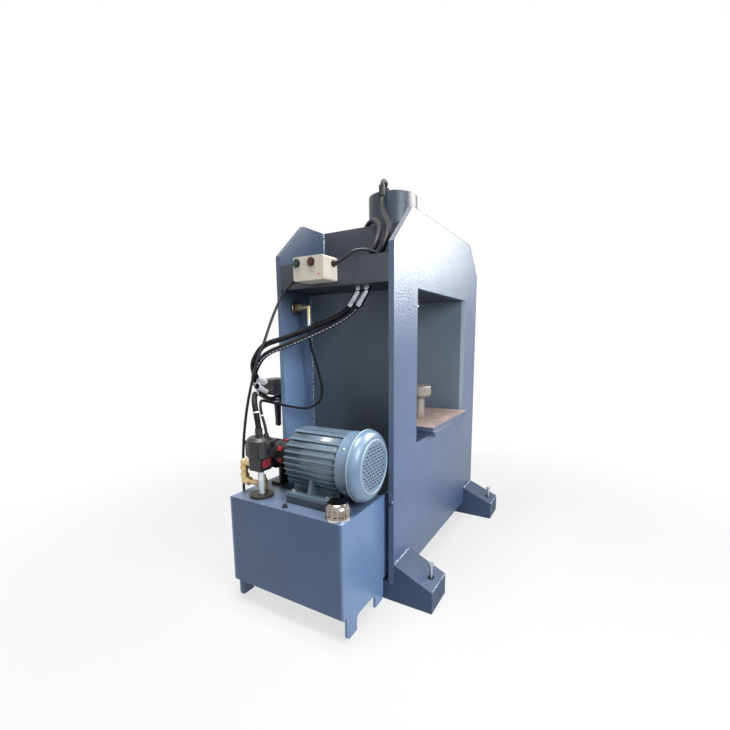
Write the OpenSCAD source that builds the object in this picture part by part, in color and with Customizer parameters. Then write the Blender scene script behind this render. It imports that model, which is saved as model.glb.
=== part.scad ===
// Hydraulic press: a welded frame of two window plates with a cylinder in its crown, and a power
// unit of tank, motor, pump and valve head at its left side. Millimetres, +Z up, floor at z = 0.
// Every piece is drawn around the ram's axis; press() then moves it so that the origin lies
// under the middle of the whole machine. The front plate is at -Y, the operator stands at +Y.

/* [Frame] */
// Width of the window plates
plate_w = 1000; // [920:10:1200]
// Thickness of the window plates
plate_t = 20; // [14:1:28]
// Depth of the frame over both window plates
frame_d = 500; // [460:10:560]
// Height of the frame above the floor
frame_h = 1400; // [1360:10:1480]
// Height of the plates' lower edge above the floor
plate_base = 65; // [50:1:80]
// Width of the cut-off top corners
corner_w = 150; // [80:5:200]
// Height of the cut-off top corners
corner_h = 140; // [80:5:160]
// Width of the window
window_w = 604; // [560:4:640]
// Height of the bed above the floor
bed_h = 550; // [530:5:570]
// Height of the crown above the window
crown_h = 270; // [250:5:300]
// Thickness of the side webs
web_t = 16; // [10:1:20]
// Width over the crown walls
crown_w = 426; // [400:2:460]
// Thickness of the crown walls
crown_t = 16; // [10:1:20]
// Thickness of the plate that carries the cylinder
seat_t = 60; // [40:1:70]
// Thickness of the bed plate
bed_t = 40; // [25:1:60]
// Thickness of the ribs under the bed
rib_t = 20; // [12:1:30]
// Distance between the ribs under the bed
rib_pitch = 240; // [180:5:300]

/* [Hose shelf] */
// Thickness of the folded shelf
shelf_t = 10; // [6:1:14]
// Height of the shelf's apron
apron_h = 91; // [80:1:110]
// Height of the shelf above the window's ceiling
shelf_lift = 5; // [2:1:12]
// Diameter of the bulkhead unions' threads
union_d = 22; // [18:1:26]
// Distance between the bulkhead unions
union_pitch = 36; // [34:1:44]

/* [Base rails] */
// Width of a base rail
rail_w = 140; // [120:5:170]
// Length of a foot in front of the plates
foot_reach = 147; // [120:1:180]
// Height of a foot at the plate
foot_h = 143; // [120:1:160]
// Height of a foot at its end
foot_end_h = 79; // [70:1:100]
// Wall of the rails
rail_wall = 8; // [5:0.5:10]
// Diameter of the levelling bolts
level_d = 12; // [10:1:16]
// Height of a levelling bolt above the floor
level_h = 146; // [140:1:170]

/* [Tooling] */
// Width of the bolster plates
bolster_w = 460; // [400:5:500]
// Depth of the bolster plates
bolster_d = 560; // [500:5:620]
// Thickness of one bolster plate
bolster_t = 19; // [12:1:25]
// Diameter of the tool's post
post_d = 53; // [40:1:60]
// Height of the tool's post
post_h = 98; // [70:1:110]
// Diameter of the tool's head
head_d = 110; // [90:1:130]
// Height of the tool's head
head_h = 50; // [40:1:60]

/* [Cylinder] */
// Bore of the barrel
bore_d = 160; // [150:1:170]
// Wall of the barrel
barrel_wall = 27.5; // [20:0.5:32]
// Width of the ring between the ram and the bore
ram_ring = 20; // [15:0.5:25]
// Height of the barrel above the window's ceiling
barrel_h = 385; // [380:5:420]
// Height of the end cap
cap_h = 50; // [35:1:60]
// Width of the barrel's flange beyond the barrel
flange_w = 20.5; // [18:0.5:30]
// Thickness of the barrel's flange
flange_h = 30; // [20:1:40]
// Width of the gland's rim beyond the bore
gland_w = 13; // [10:0.5:16]
// Thickness of the gland under the flange
gland_h = 15; // [10:1:20]
// Depth of the gland inside the barrel
gland_depth = 45; // [30:1:50]
// Height of the piston
piston_h = 70; // [50:1:80]
// Depth of the tool socket in the ram
socket_h = 95; // [60:1:120]

/* [Tank] */
// Depth of the tank
tank_d = 265; // [250:5:300]
// Length of the tank
tank_w = 476; // [460:2:500]
// Height of the tank above the floor
tank_h = 398; // [380:2:410]
// Height of the tank's lower edge above the floor
tank_base = 81; // [75:1:95]
// Wall of the tank
tank_wall = 4; // [3:0.5:6]
// Thickness of the tank's end plates
end_t = 8; // [6:0.5:12]
// Gap between the tank and the frame
tank_gap = 5; // [2:1:15]
// Length of the legs of the end plates
leg_w = 60; // [45:1:75]
// Diameter of the filler cap
filler_d = 78; // [66:1:78]
// Height of the filler cap
filler_h = 46; // [36:1:56]
// Diameter of the suction pipe
pipe_d = 22; // [18:1:28]
// Diameter of the suction pipe's flange
pipe_flange_d = 85; // [70:1:100]

/* [Motor] */
// Height of the shaft above the motor's feet
shaft_h = 112; // [112:1:122]
// Distance between the foot bolts across the motor
foot_a = 190; // [180:1:200]
// Distance between the foot bolts along the motor
foot_b = 140; // [130:1:150]
// Thickness of the rails under the motor
motor_rail_t = 25; // [15:1:35]
// Diameter of the frame under its fins
core_d = 176; // [170:1:184]
// Diameter over the fins
fin_d = 216; // [208:1:216]
// Thickness of a fin
fin_t = 4.5; // [3:0.5:7]
// Distance from fin to fin
fin_pitch = 20; // [18:0.5:24]
// Diameter of the fan cover's band
cover_d = 220; // [218:1:224]
// Diameter of the fan cover's bulge
bulge_d = 240; // [232:1:244]
// Wall of the fan cover
cover_wall = 2.5; // [1.5:0.5:3]
// Diameter of the motor's shaft
shaft_d = 28; // [24:1:32]
// Diameter of the coupling
coupling_d = 92; // [80:1:96]

/* [Pump and valve head] */
// Width of the gear pump
pump_w = 90; // [80:1:100]
// Length of the gear pump
pump_l = 78; // [70:1:90]
// Width of the valve head's lower block
head_block_w = 54; // [48:1:64]
// Height of the valve head's lower block
head_block_h = 50; // [44:1:60]
// Diameter of the valve head's upper body
head_dome_d = 88; // [80:1:96]
// Height of the valve head's upper body
head_dome_h = 69; // [62:1:80]
// Height of the valve head above the tank
head_lift = 97; // [90:1:105]

/* [Controls] */
// Width of the control box
box_w = 128; // [120:1:150]
// Height of the control box
box_h = 80; // [74:1:95]
// Depth of the control box
box_d = 82; // [70:1:95]
// Depth of the control box's lid
lid_d = 32; // [24:1:40]
// Diameter of the push buttons
button_d = 22; // [18:1:26]
// Diameter of the gauge's case
gauge_d = 63; // [56:1:70]
// Width of the hand valve
valve_w = 90; // [80:1:100]
// Height of the hand valve
valve_h = 60; // [52:1:70]
// Length of the hand lever
lever_l = 130; // [100:1:150]

/* [Hoses and cables] */
// Diameter of the hydraulic hoses
hose_d = 20; // [16:1:22]
// Diameter of the gauge hose
gauge_hose_d = 10; // [8:1:12]
// Diameter of the cables
cable_d = 10; // [8:1:12]
// Length of a hose crimp
crimp_l = 60; // [50:1:64]

/* [Hidden] */
$fn = 48;

// Clearances: between turning or sliding faces, and between pieces that are fixed together
run_gap = 0.05;
seat_gap = 0.1;
free_gap = 0.5;

// The frame's main levels and faces
press_x = (tank_gap + tank_d) / 2;
ceiling_z = frame_h - crown_h;
window_h = ceiling_z - bed_h;
inner_y = frame_d / 2 - plate_t;
outer_y = frame_d / 2;
left_x = -plate_w / 2;
web_x = window_w / 2 + web_t;
seat_top = ceiling_z + seat_t;
foot_y = outer_y + foot_reach;
foot_slope = (foot_h - foot_end_h) / foot_reach;
shelf_z = ceiling_z + shelf_lift;
shelf_top = shelf_z + shelf_t;

// Levelling bolts: distance from the foot's end, slot in the foot, hexagon sizes
level_in = 31;
level_slot = 26;
level_nut_h = 10;
level_head_h = 8;

// Bolster plates and the tool that stands on them
bolster_x = 45;
bolster_turn = [0.5, -0.9];
tool_x = -10;
tool_y = -137;
bolster_gap = 0.2;
bolster_top = bed_h + 2 * bolster_t + bolster_gap;
tool_edge = 3;
head_bevel = 10;

// The cylinder's levels; the ram rests at the top of its stroke
barrel_d = bore_d + 2 * barrel_wall;
ram_d = bore_d - 2 * ram_ring;
flange_d = barrel_d + 2 * flange_w;
gland_d = bore_d + 2 * gland_w;
barrel_top = ceiling_z + barrel_h;
cap_top = barrel_top + cap_h;
flange_z = ceiling_z - flange_h;
gland_z = flange_z - gland_h;
piston_top = barrel_top - 8;
piston_z = piston_top - piston_h;
nose_drop = 10;
nose_z = gland_z - nose_drop;
spigot_r = 30;
socket_gap = 0.25;
gland_bolts_n = 12;
gland_bolt_r = (flange_d + gland_d) / 4;
gland_bolt_af = 17;
gland_bolt_h = 11;
groove_depth = 4;
groove_h = 8;

// Hose fittings: unions through the shelf, the gooseneck on the cap and the elbow at the barrel
crimp_r = 13;
union_x = left_x + 65;
union_y0 = -75;
union_tilt = 35;
elbow_drop = 18;
union_nut_af = 32;
union_nut_h = 10;
neck_bend = 24;
neck_tube_r = 8;
neck_y = -10;
neck_x = -(barrel_d / 2 + crimp_r + 4) + neck_bend;
neck_rise = 14;
neck_crimp_l = 40;
port_turn = 135;
port_z = seat_top + 35;
port_reach = 38;
port_rise = 65;

// The tank's faces and the places of what stands on it, from its front and its left end
tank_x0 = left_x - tank_gap - tank_d;
tank_x1 = left_x - tank_gap;
tank_y1 = 266;
tank_y0 = tank_y1 - tank_w;
pan_inset = 20;
pan_drop = 16;
leg_inset = 20;
leg_r = 18;
arch_h = 52;
end_tuck = 28;
filler_x = tank_x0 + 41;
filler_y = tank_y0 + 41;
filler_flange_r = filler_d / 2 + 1;
filler_flange_h = 8;
neck_r = 28;
neck_wall = 3;
neck_h = 24;
neck_depth = 30;
scallops = 11;
plug_x = tank_x0 + 22;
plug_y = 30;
plug_r = 10;
pipe_x = tank_x0 + 61;
pipe_in = 94;
pipe_y = tank_y1 - pipe_in;
pipe_flange_h = 9;
pipe_depth = 200;

// The motor: its axis, and its stations along the shaft
motor_in = 170;
motor_x = tank_x0 + motor_in;
motor_y = -38;
motor_z = tank_h + motor_rail_t + shaft_h;
motor_rail_w = 40;
motor_rail_over = 20;
frame_back = -106;
frame_front = 104;
spine_w = 40;
spine_drop = 4;
shield_in = 4;
shoulder_out = 70;
shoulder = foot_b / 2 + shoulder_out;
shaft_end = shoulder + 60;
end_wall = 14;
stator_r = 70;
air_gap = 0.7;
rear_shaft_r = 12;
spigot_l = 10;
foot_t = 13;
foot_in = 56;
foot_wall = 14;
foot_web = 12;
foot_half = foot_a / 2 + 20;
foot_l = foot_b + 40;
bearing_r = 45;
bearing_h = 8;
fan_y = frame_back - 22;
fan_l = 34;
fan_hub_r = 28;
fan_blades = 7;
fan_blade_t = 3;
cover_l = 84;
band_l = 44;
bulge_at = 50;
bulge_bend = 30;
slot_rows = 13;
slot_cols = 7;
slot_pitch_x = 20;
slot_pitch_z = 11;
slot_w = 13;
slot_h = 4.5;
motor_bolt_r = 5;
motor_bolt_af = 17;
motor_bolt_h = 8;
spanner_h = 30;
tbox_w = 80;
tbox_h = 80;
tbox_d = 52;
tbox_z = motor_z + 8;

// The coupling and the pump behind it
hub_y = motor_y + shoulder + bearing_h + 1;
hub_l = 21;
spider_l = 18;
jaws = 3;
jaw_turn = 37;
jaw_gap = 3;
jaw_root_r = 16;
bracket_y = hub_y + 2 * hub_l + spider_l + 6;
bracket_t = 10;
bracket_w = 40;
bracket_ring = 10;
bracket_foot = 50;
pump_y = bracket_y + bracket_t;
pump_h = pump_w + 22;
pump_shaft_r = 10;
pump_spigot_r = 30;
link_r = 11;
link_y = pump_y + 6;
link_z = tank_h + head_lift + head_block_h / 2;

// The valve head on the suction pipe, with the brass pipe at its left
head_z = tank_h + head_lift;
dome_z = head_z + head_block_h;
head_top = dome_z + head_dome_h;
brass_r = 12;
brass_out = 80;
brass_y = pipe_y + brass_out;
brass_top_z = head_z + 16;
brass_low_z = tank_h + 44;
knob_r = 18;
knob_l = 16;
knob_z = dome_z + 44;
boss_x = pipe_x + 51;
boss_y = pipe_y + 36;
boss_r = 12;
boss_h = 30;
boss_stem_h = 26;
boss_af = 22;

// The control box on the apron, its buttons and its glands
box_x1 = left_x;
box_x0 = left_x - box_d;
box_y0 = -30;
box_y1 = box_y0 + box_w;
box_z0 = shelf_z + 13;
box_r = 7;
box_wall = 3;
button_out = 6;
button_in = 14;
start_in = 16;
stop_in = 78;
button_y = [box_y1 - start_in, box_y1 - stop_in];
button_z = box_z0 + box_h - 20;
gland_r = 8;
gland_l = 14;
lead_x = left_x - 26;
lead_z = box_z0 + box_h - 23;
supply_x = left_x - 25;
supply_z = box_z0 + 17;

// The pressure gauge in the rear plate
gauge_in = 83;
gauge_x = left_x + gauge_in;
gauge_z = ceiling_z - 55;
gauge_back = 8;
bezel_r = gauge_d / 2 + 8;
bezel_h = 14;
dial_r = gauge_d / 2 - 1;
dial_depth = 9;
needle_pin_r = 1.5;
gauge_elbow_y = inner_y - 66;
gauge_tail = 45;
gauge_crimp = 40;

// The hand valve behind the rear plate's left edge
valve_x0 = left_x - 45;
valve_x1 = valve_x0 + valve_w;
valve_y1 = outer_y + 66;
valve_lift = 185;
spool_r = 16;
spool_l = 34;
valve_z0 = bed_h + valve_lift;
valve_z1 = valve_z0 + valve_h;
valve_y = outer_y + 35;
inlet_x0 = left_x + 30;
inlet_w = 46;
inlet_h = 46;
inlet_z = valve_z0 - 23;
port_tilt = 30;
port_l = 45;
port_stub = 10;
inlet_crimp_l = 35;
lever_x = inlet_x0 + inlet_w / 2;
lever_z = valve_z0 - 18;
lever_pin_r = 6;
lever_t = 12;
lever_gap = 0.4;

// Cables and hoses: ends that follow the fittings
lower_end = [for (i = [0, 1]) [union_x, union_y0 - i * union_pitch + crimp_l * sin(union_tilt),
    shelf_z - elbow_drop - crimp_l * cos(union_tilt)]];
upper_end = [for (i = [0, 1]) [union_x, union_y0 - i * union_pitch - crimp_l * sin(union_tilt),
    shelf_top + elbow_drop + crimp_l * cos(union_tilt)]];
neck_end = [neck_x - neck_bend, neck_y, cap_top + neck_rise - neck_crimp_l];
port_mid = (barrel_d / 2 + port_reach) * [cos(port_turn), sin(port_turn), 0] + [0, 0, port_z];
port_end = port_mid + [0, 0, port_rise];
valve_port = [for (dz = [10, 47]) [valve_x0, valve_y, valve_z1 - dz]];
valve_root = [for (p = valve_port) p - [port_stub, 0, 0]];
valve_end = [for (p = valve_root) p + port_l * [-cos(port_tilt), 0, sin(port_tilt)]];
inlet_end = [inlet_x0 - inlet_crimp_l, valve_y, inlet_z];
head_end = [pipe_x, pipe_y, head_top + 30];
gauge_port = [pipe_x + 12, pipe_y - 24, head_top + 12];
gauge_end = [gauge_x, gauge_elbow_y, gauge_z - gauge_tail - gauge_crimp];
lead_end = [lead_x, box_y0 - gland_l, lead_z];
tbox_end = [motor_x + core_d / 2 + 34, motor_y - 20 - tbox_w / 2 - gland_l, tbox_z];
supply_end = [supply_x, box_y1 + gland_l, supply_z];

// Cables and hoses: routes between those ends, chosen by eye
return_route = [lower_end[0], [-445, -14, 1042], [-470, 24, 1020], [-505, 75, 995], [-540, 125, 972],
    [-572, 172, 952], [-600, 215, 935], [-617, 242, 911], [-623, 264, 874], [-616, 279, 836], valve_end[0]];
advance_route = [lower_end[1], [-445, -44, 1038], [-470, -6, 1010], [-505, 46, 980], [-545, 104, 950],
    [-578, 155, 926], [-605, 200, 905], [-621, 229, 880], [-626, 256, 840], [-617, 277, 800], valve_end[1]];
cap_route = [upper_end[1], [-425, -172, 1262], [-390, -172, 1312], [-334, -146, 1356], [-274, -106, 1400],
    [-216, -66, 1442], [-168, -34, 1480], [-136, -16, 1512], neck_end];
rod_route = [upper_end[0], [-425, -134, 1260], [-390, -134, 1308], [-336, -112, 1350], [-284, -80, 1385],
    [-236, -40, 1411], [-196, 6, 1421], [-156, 52, 1406], [-120, 88, 1356], port_end];
pump_route = [head_end, [-710, 177, 690], [-703, 191, 726], [-682, 212, 750], [-648, 234, 756],
    [-608, 253, 747], [-570, 269, 731], [-540, 281, 717], inlet_end];
gauge_route = [gauge_end, [-414, 160, 920], [-402, 138, 830], [-402, 120, 750], [-420, 124, 700],
    [-460, 154, 678], [-515, 188, 690], [-570, 212, 708], [-618, 220, 724], [-655, 207, 730],
    [-681, 186, 715], [-693, 168, 685], [-697, 154, 655], gauge_port];
lead_hole = [-400, -212];
lead_route = [lead_end, [-523, -78, 1220], [-508, -108, 1242], [-480, -144, 1245], [-446, -180, 1226],
    [-414, -206, 1188], [-400, -212, 1135], [-392, -214, 1060], [-378, -216, 900], [-376, -215, 720],
    [-392, -210, 630], [-426, -194, 568], [-460, -166, 545], tbox_end];
supply_route = [supply_end, [-532, 150, 1150], [-552, 182, 1105], [-585, 200, 1030], [-622, 212, 940],
    [-650, 228, 860], [-676, 262, 690], [-690, 280, 480], [-692, 279, 130], [-688, 277, 72],
    [-676, 275, 36], [-652, 275, 19], [-630, 275, 15]];
tail_route = [[-610, 275, 5], [-578, 276, 6], [-556, 283, 9], [-540, 296, 14], [-530, 314, 18]];

// The coil of spare supply cable and its plug, on the floor behind the tank
coil_x = -620;
coil_y = 332;
coil_r = 52;
coil_rows = 2;
plug_l = 46;
plug_body_r = 18;
plug_neck_r = 8;
plug_neck_l = 10;
plug_pin_r = 2.5;
plug_pin_l = 19;

// Colours
PAINT = "#5d728f";
STEEL = "#8b8178";
CHROME = "#d5d8dc";
ZINC = "#b9bcc0";
BRASS = "#b8964f";
BLACK = "#26272b";
MOTOR = "#66757d";
IVORY = "#d9d3c4";

// Moves a piece from the ram's axis into the part's frame
module press() {
    translate([press_x, 0, 0]) children();
}

// A box between two corners
module block(low, high) {
    translate(low) cube(high - low);
}

// Round bars along Y and X, and between any two points
module bar_y(p, r, l) {
    translate(p) rotate([-90, 0, 0]) cylinder(r = r, h = l);
}

module bar_x(p, r, l) {
    translate(p) rotate([0, 90, 0]) cylinder(r = r, h = l);
}

module bar_between(p, q, r) {
    run = q - p;
    translate(p) rotate([0, acos(run.z / norm(run)), atan2(run.y, run.x)]) cylinder(r = r, h = norm(run));
}

// A hexagon with its flats af apart, standing on p
module hexagon(p, af, h) {
    translate(p) cylinder(r = af / sqrt(3), h = h, $fn = 6);
}

// Outlines: a rectangle with round corners, and points along an arc
function arc(cx, cy, r, from, to, steps = 6) =
    [for (i = [0:steps]) let (a = from + (to - from) * i / steps) [cx + r * cos(a), cy + r * sin(a)]];

function round_rect(w, h, r) = concat(arc(w - r, h - r, r, 0, 90), arc(r, h - r, r, 90, 180),
    arc(r, r, r, 180, 270), arc(w - r, r, r, 270, 360));

// Flat plates cut from an outline: in XZ from y on, and in YZ from x on
module plate_xz(y, t) {
    translate([0, y + t, 0]) rotate([90, 0, 0]) linear_extrude(t) children();
}

module plate_yz(x, t) {
    translate([x, 0, 0]) rotate([90, 0, 90]) linear_extrude(t) children();
}

// A cord: rings around the points of its route, joined into one closed tube
function unit(v) = v / norm(v);
function heading(route, i) = unit(route[min(i + 1, len(route) - 1)] - route[max(i - 1, 0)]);
function ring(route, i, r, side, sides) =
    let (t = heading(route, i), u = unit(cross(t, side)), w = cross(t, u))
    [for (k = [0:sides - 1]) route[i] + r * (cos(360 * k / sides) * u + sin(360 * k / sides) * w)];

module cord(route, d, side, sides = 8) {
    last = len(route) - 1;
    walls = [for (i = [0:last - 1]) for (k = [0:sides - 1])
        let (a = i * sides + k, b = i * sides + (k + 1) % sides)
            each [[a, a + sides, b + sides], [a, b + sides, b]]];
    ends = [[for (k = [0:sides - 1]) k], [for (k = [0:sides - 1]) last * sides + sides - 1 - k]];
    polyhedron([for (i = [0:last]) each ring(route, i, d / 2, side, sides)], concat(walls, ends));
}

// The welded frame

module window_plate(y) {
    plate_xz(y, plate_t) difference() {
        polygon([[left_x, plate_base], [-left_x, plate_base], [-left_x, frame_h - corner_h],
            [-left_x - corner_w, frame_h], [left_x + corner_w, frame_h], [left_x, frame_h - corner_h]]);
        translate([-window_w / 2, bed_h]) square([window_w, window_h]);
    }
}

module front_plate() {
    color(PAINT) press() window_plate(-outer_y);
}

module rear_plate() {
    color(PAINT) press() difference() {
        window_plate(inner_y);
        bar_y([gauge_x, inner_y - 1, gauge_z], gauge_d / 2 + seat_gap, plate_t + 2);
    }
}

module side_webs() {
    color(PAINT) press() for (x = [-web_x, web_x - web_t])
        block([x, -inner_y, plate_base], [x + web_t, inner_y, ceiling_z]);
}

module crown_walls() {
    color(PAINT) press() for (x = [-crown_w / 2, crown_w / 2 - crown_t])
        block([x, -inner_y, seat_top], [x + crown_t, inner_y, frame_h]);
}

module cylinder_seat() {
    color(PAINT) press() difference() {
        block([-web_x, -inner_y, ceiling_z], [web_x, inner_y, seat_top]);
        translate([0, 0, ceiling_z - 1]) cylinder(d = barrel_d + 2 * seat_gap, h = seat_t + 2);
    }
}

module bed_plate() {
    color(PAINT) press() block([-window_w / 2, -inner_y, bed_h - bed_t], [window_w / 2, inner_y, bed_h]);
}

module bed_ribs() {
    color(PAINT) press() for (x = [-rib_pitch / 2, rib_pitch / 2])
        block([x - rib_t / 2, -inner_y, plate_base], [x + rib_t / 2, inner_y, bed_h - bed_t]);
}

module hose_shelf() {
    color(PAINT) press() difference() {
        union() {
            block([left_x, -inner_y, shelf_z], [-web_x, inner_y, shelf_top]);
            block([left_x, -inner_y, shelf_z], [left_x + shelf_t, inner_y, shelf_z + apron_h]);
        }
        for (i = [0, 1])
            translate([union_x, union_y0 - i * union_pitch, shelf_z - 1])
                cylinder(d = union_d + 2 * seat_gap, h = shelf_t + 2);
        translate([lead_hole.x, lead_hole.y, shelf_z - 1]) cylinder(d = cable_d + 6, h = shelf_t + 2);
    }
}

// A base rail: a welded box whose two ends rise into sloping feet in front of the plates
module base_rail(x) {
    drop = rail_wall * sqrt(1 + foot_slope * foot_slope);
    in_end = foot_y - rail_wall;
    in_step = outer_y + rail_wall;
    in_top = foot_h - drop - rail_wall * foot_slope;
    in_low = foot_end_h - drop + rail_wall * foot_slope;
    in_mid = plate_base - rail_wall;
    hole_y = foot_y - level_in;
    difference() {
        plate_yz(x, rail_w) polygon([[-foot_y, 0], [foot_y, 0], [foot_y, foot_end_h], [outer_y, foot_h],
            [outer_y, plate_base], [-outer_y, plate_base], [-outer_y, foot_h], [-foot_y, foot_end_h]]);
        plate_yz(x + rail_wall, rail_w - 2 * rail_wall) polygon([[-in_end, rail_wall], [in_end, rail_wall],
            [in_end, in_low], [in_step, in_top], [in_step, in_mid], [-in_step, in_mid],
            [-in_step, in_top], [-in_end, in_low]]);
        for (y = [-hole_y, hole_y]) {
            translate([x + rail_w / 2, y, -1]) cylinder(d = level_d + 2 * free_gap, h = foot_h);
            for (dx = [-1, 1])
                translate([x + rail_w / 2 + dx * (level_slot - level_d) / 2, y, rail_wall + 1])
                    cylinder(r = level_d / 2 + 3, h = foot_h);
            block([x + rail_w / 2 - (level_slot - level_d) / 2, y - level_d / 2 - 3, rail_wall + 1],
                [x + rail_w / 2 + (level_slot - level_d) / 2, y + level_d / 2 + 3, foot_h]);
        }
    }
}

module left_base_rail() {
    color(PAINT) press() base_rail(left_x);
}

module right_base_rail() {
    color(PAINT) press() base_rail(-left_x - rail_w);
}

// Levelling bolts: each stands through its foot, in a nut on the rail's floor
module levelling_bolts() {
    color(ZINC) press() for (x = [left_x + rail_w / 2, -left_x - rail_w / 2], y = [-1, 1])
        translate([x, y * (foot_y - level_in), 0]) {
            translate([0, 0, 1]) cylinder(d = level_d, h = level_h - 1);
            hexagon([0, 0, rail_wall], 1.6 * level_d, level_nut_h);
            hexagon([0, 0, level_h - level_head_h], 1.6 * level_d, level_head_h);
        }
}

// What lies on the bed

module bolster_plates() {
    color(STEEL) press() for (i = [0, 1])
        translate([bolster_x, 0, bed_h + i * (bolster_t + bolster_gap)]) rotate(bolster_turn[i])
            translate([-bolster_w / 2, -bolster_d / 2, 0]) cube([bolster_w, bolster_d, bolster_t]);
}

module press_tool() {
    color(STEEL) press() translate([tool_x, tool_y, bolster_top]) rotate_extrude()
        polygon([[0, 0], [post_d / 2 - tool_edge, 0], [post_d / 2, tool_edge], [post_d / 2, post_h],
            [head_d / 2 - head_bevel, post_h], [head_d / 2, post_h + head_bevel],
            [head_d / 2, post_h + head_h - tool_edge], [head_d / 2 - tool_edge, post_h + head_h],
            [0, post_h + head_h]]);
}

// The cylinder

module cylinder_barrel() {
    color(PAINT) press() difference() {
        union() {
            translate([0, 0, flange_z]) cylinder(d = barrel_d, h = barrel_top - flange_z);
            translate([0, 0, flange_z]) cylinder(d = flange_d, h = flange_h);
        }
        translate([0, 0, flange_z - 1]) cylinder(d = bore_d, h = barrel_top - flange_z + 2);
        translate([0, 0, port_z]) rotate([0, 90, port_turn]) cylinder(r = neck_tube_r - 2, h = barrel_d);
    }
}

module cylinder_cap() {
    lip = 4;
    color(PAINT) press() difference() {
        rotate_extrude() polygon([[0, barrel_top - lip], [bore_d / 2 - seat_gap, barrel_top - lip],
            [bore_d / 2 - seat_gap, barrel_top],
            [barrel_d / 2 - 1, barrel_top], [barrel_d / 2, barrel_top + 1],
            [barrel_d / 2, cap_top - 2], [barrel_d / 2 - 2, cap_top], [0, cap_top]]);
        translate([neck_x + neck_bend, neck_y, barrel_top - lip - 1])
            cylinder(r = neck_tube_r - 2, h = cap_h + lip + 2);
    }
}

module rod_gland() {
    color(ZINC) press() difference() {
        union() {
            translate([0, 0, gland_z]) cylinder(d = gland_d, h = gland_h);
            translate([0, 0, flange_z]) cylinder(d = bore_d - 2 * seat_gap, h = gland_depth);
        }
        translate([0, 0, gland_z - 1]) cylinder(d = ram_d + 2 * run_gap, h = gland_h + gland_depth + 2);
    }
}

module gland_bolts() {
    color(CHROME) press() for (i = [0:gland_bolts_n - 1]) rotate((i + 0.5) * 360 / gland_bolts_n)
        hexagon([gland_bolt_r, 0, flange_z - gland_bolt_h], gland_bolt_af, gland_bolt_h);
}

module piston() {
    r = bore_d / 2 - run_gap;
    color(STEEL) press() difference() {
        translate([0, 0, piston_z]) cylinder(r = r, h = piston_h);
        translate([0, 0, piston_z - 1]) cylinder(r = spigot_r + run_gap, h = piston_h + 2);
        for (i = [1, 2]) translate([0, 0, piston_z + i * piston_h / 3 - groove_h / 2]) difference() {
            cylinder(r = r + 1, h = groove_h);
            cylinder(r = r - groove_depth, h = groove_h);
        }
    }
}

module ram() {
    color(CHROME) press() difference() {
        union() {
            translate([0, 0, nose_z]) cylinder(d1 = ram_d - 4, d2 = ram_d, h = 2);
            translate([0, 0, nose_z + 2]) cylinder(d = ram_d, h = piston_z - nose_z - 2);
            translate([0, 0, piston_z]) cylinder(r = spigot_r, h = piston_h);
        }
        translate([0, 0, nose_z - 1]) cylinder(d = post_d + 2 * socket_gap, h = socket_h + 1);
    }
}

// Fittings that carry the hoses: two unions through the shelf, a gooseneck on the cap, an elbow at
// the barrel's rod side, and the crimps at the hand valve
module hose_fittings() {
    color(ZINC) press() {
        for (i = [0, 1]) {
            top = [union_x, union_y0 - i * union_pitch, shelf_top + elbow_drop];
            low = [union_x, union_y0 - i * union_pitch, shelf_z - elbow_drop];
            union() {
                bar_between(low, top, union_d / 2);
                hexagon([top.x, top.y, shelf_top], union_d + 4, union_nut_h);
                hexagon([low.x, low.y, shelf_z - union_nut_h], union_d + 4, union_nut_h);
                translate(top) sphere(r = crimp_r - 1);
                translate(low) sphere(r = crimp_r - 1);
                bar_between(top, upper_end[i], crimp_r);
                bar_between(low, lower_end[i], crimp_r);
            }
            union() {
                bar_between(valve_root[i], valve_end[i], crimp_r);
                bar_x(valve_root[i] - [2, 0, 0], crimp_r - 4, port_stub + 2);
            }
        }
        union() {
            translate([neck_x, neck_y, cap_top + neck_rise]) rotate([90, 0, 0])
                rotate_extrude(angle = 180) translate([neck_bend, 0]) circle(r = neck_tube_r);
            translate([neck_x + neck_bend, neck_y, cap_top]) cylinder(r = neck_tube_r, h = neck_rise);
            hexagon([neck_x + neck_bend, neck_y, cap_top], 27, 14);
            bar_between(neck_end, neck_end + [0, 0, neck_crimp_l], crimp_r);
        }
        union() {
            bar_between((barrel_d / 2 + seat_gap) * [cos(port_turn), sin(port_turn), 0] + [0, 0, port_z],
                port_mid, neck_tube_r + 3);
            translate(port_mid) sphere(r = neck_tube_r + 4);
            bar_between(port_mid, port_end, crimp_r);
        }
        bar_between([inlet_x0, valve_y, inlet_z], inlet_end, crimp_r);
    }
}

// The tank of the power unit

module oil_tank() {
    y0 = tank_y0 + end_t;
    y1 = tank_y1 - end_t;
    color(PAINT) press() difference() {
        union() {
            block([tank_x0, y0, tank_base], [tank_x1, y1, tank_h]);
            block([tank_x0 + pan_inset, y0, tank_base - pan_drop], [tank_x1 - pan_inset, y1, tank_base]);
        }
        block([tank_x0 + tank_wall, y0 + tank_wall, tank_base],
            [tank_x1 - tank_wall, y1 - tank_wall, tank_h - tank_wall]);
        translate([filler_x, filler_y, tank_h - tank_wall - 1])
            cylinder(r = neck_r + seat_gap, h = tank_wall + 2);
        translate([pipe_x, pipe_y, tank_h - tank_wall - 1])
            cylinder(d = pipe_d + 2 * seat_gap, h = tank_wall + 2);
        translate([plug_x, plug_y, tank_h - tank_wall - 1])
            cylinder(r = plug_r - 2, h = tank_wall + 2);
    }
}

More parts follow.
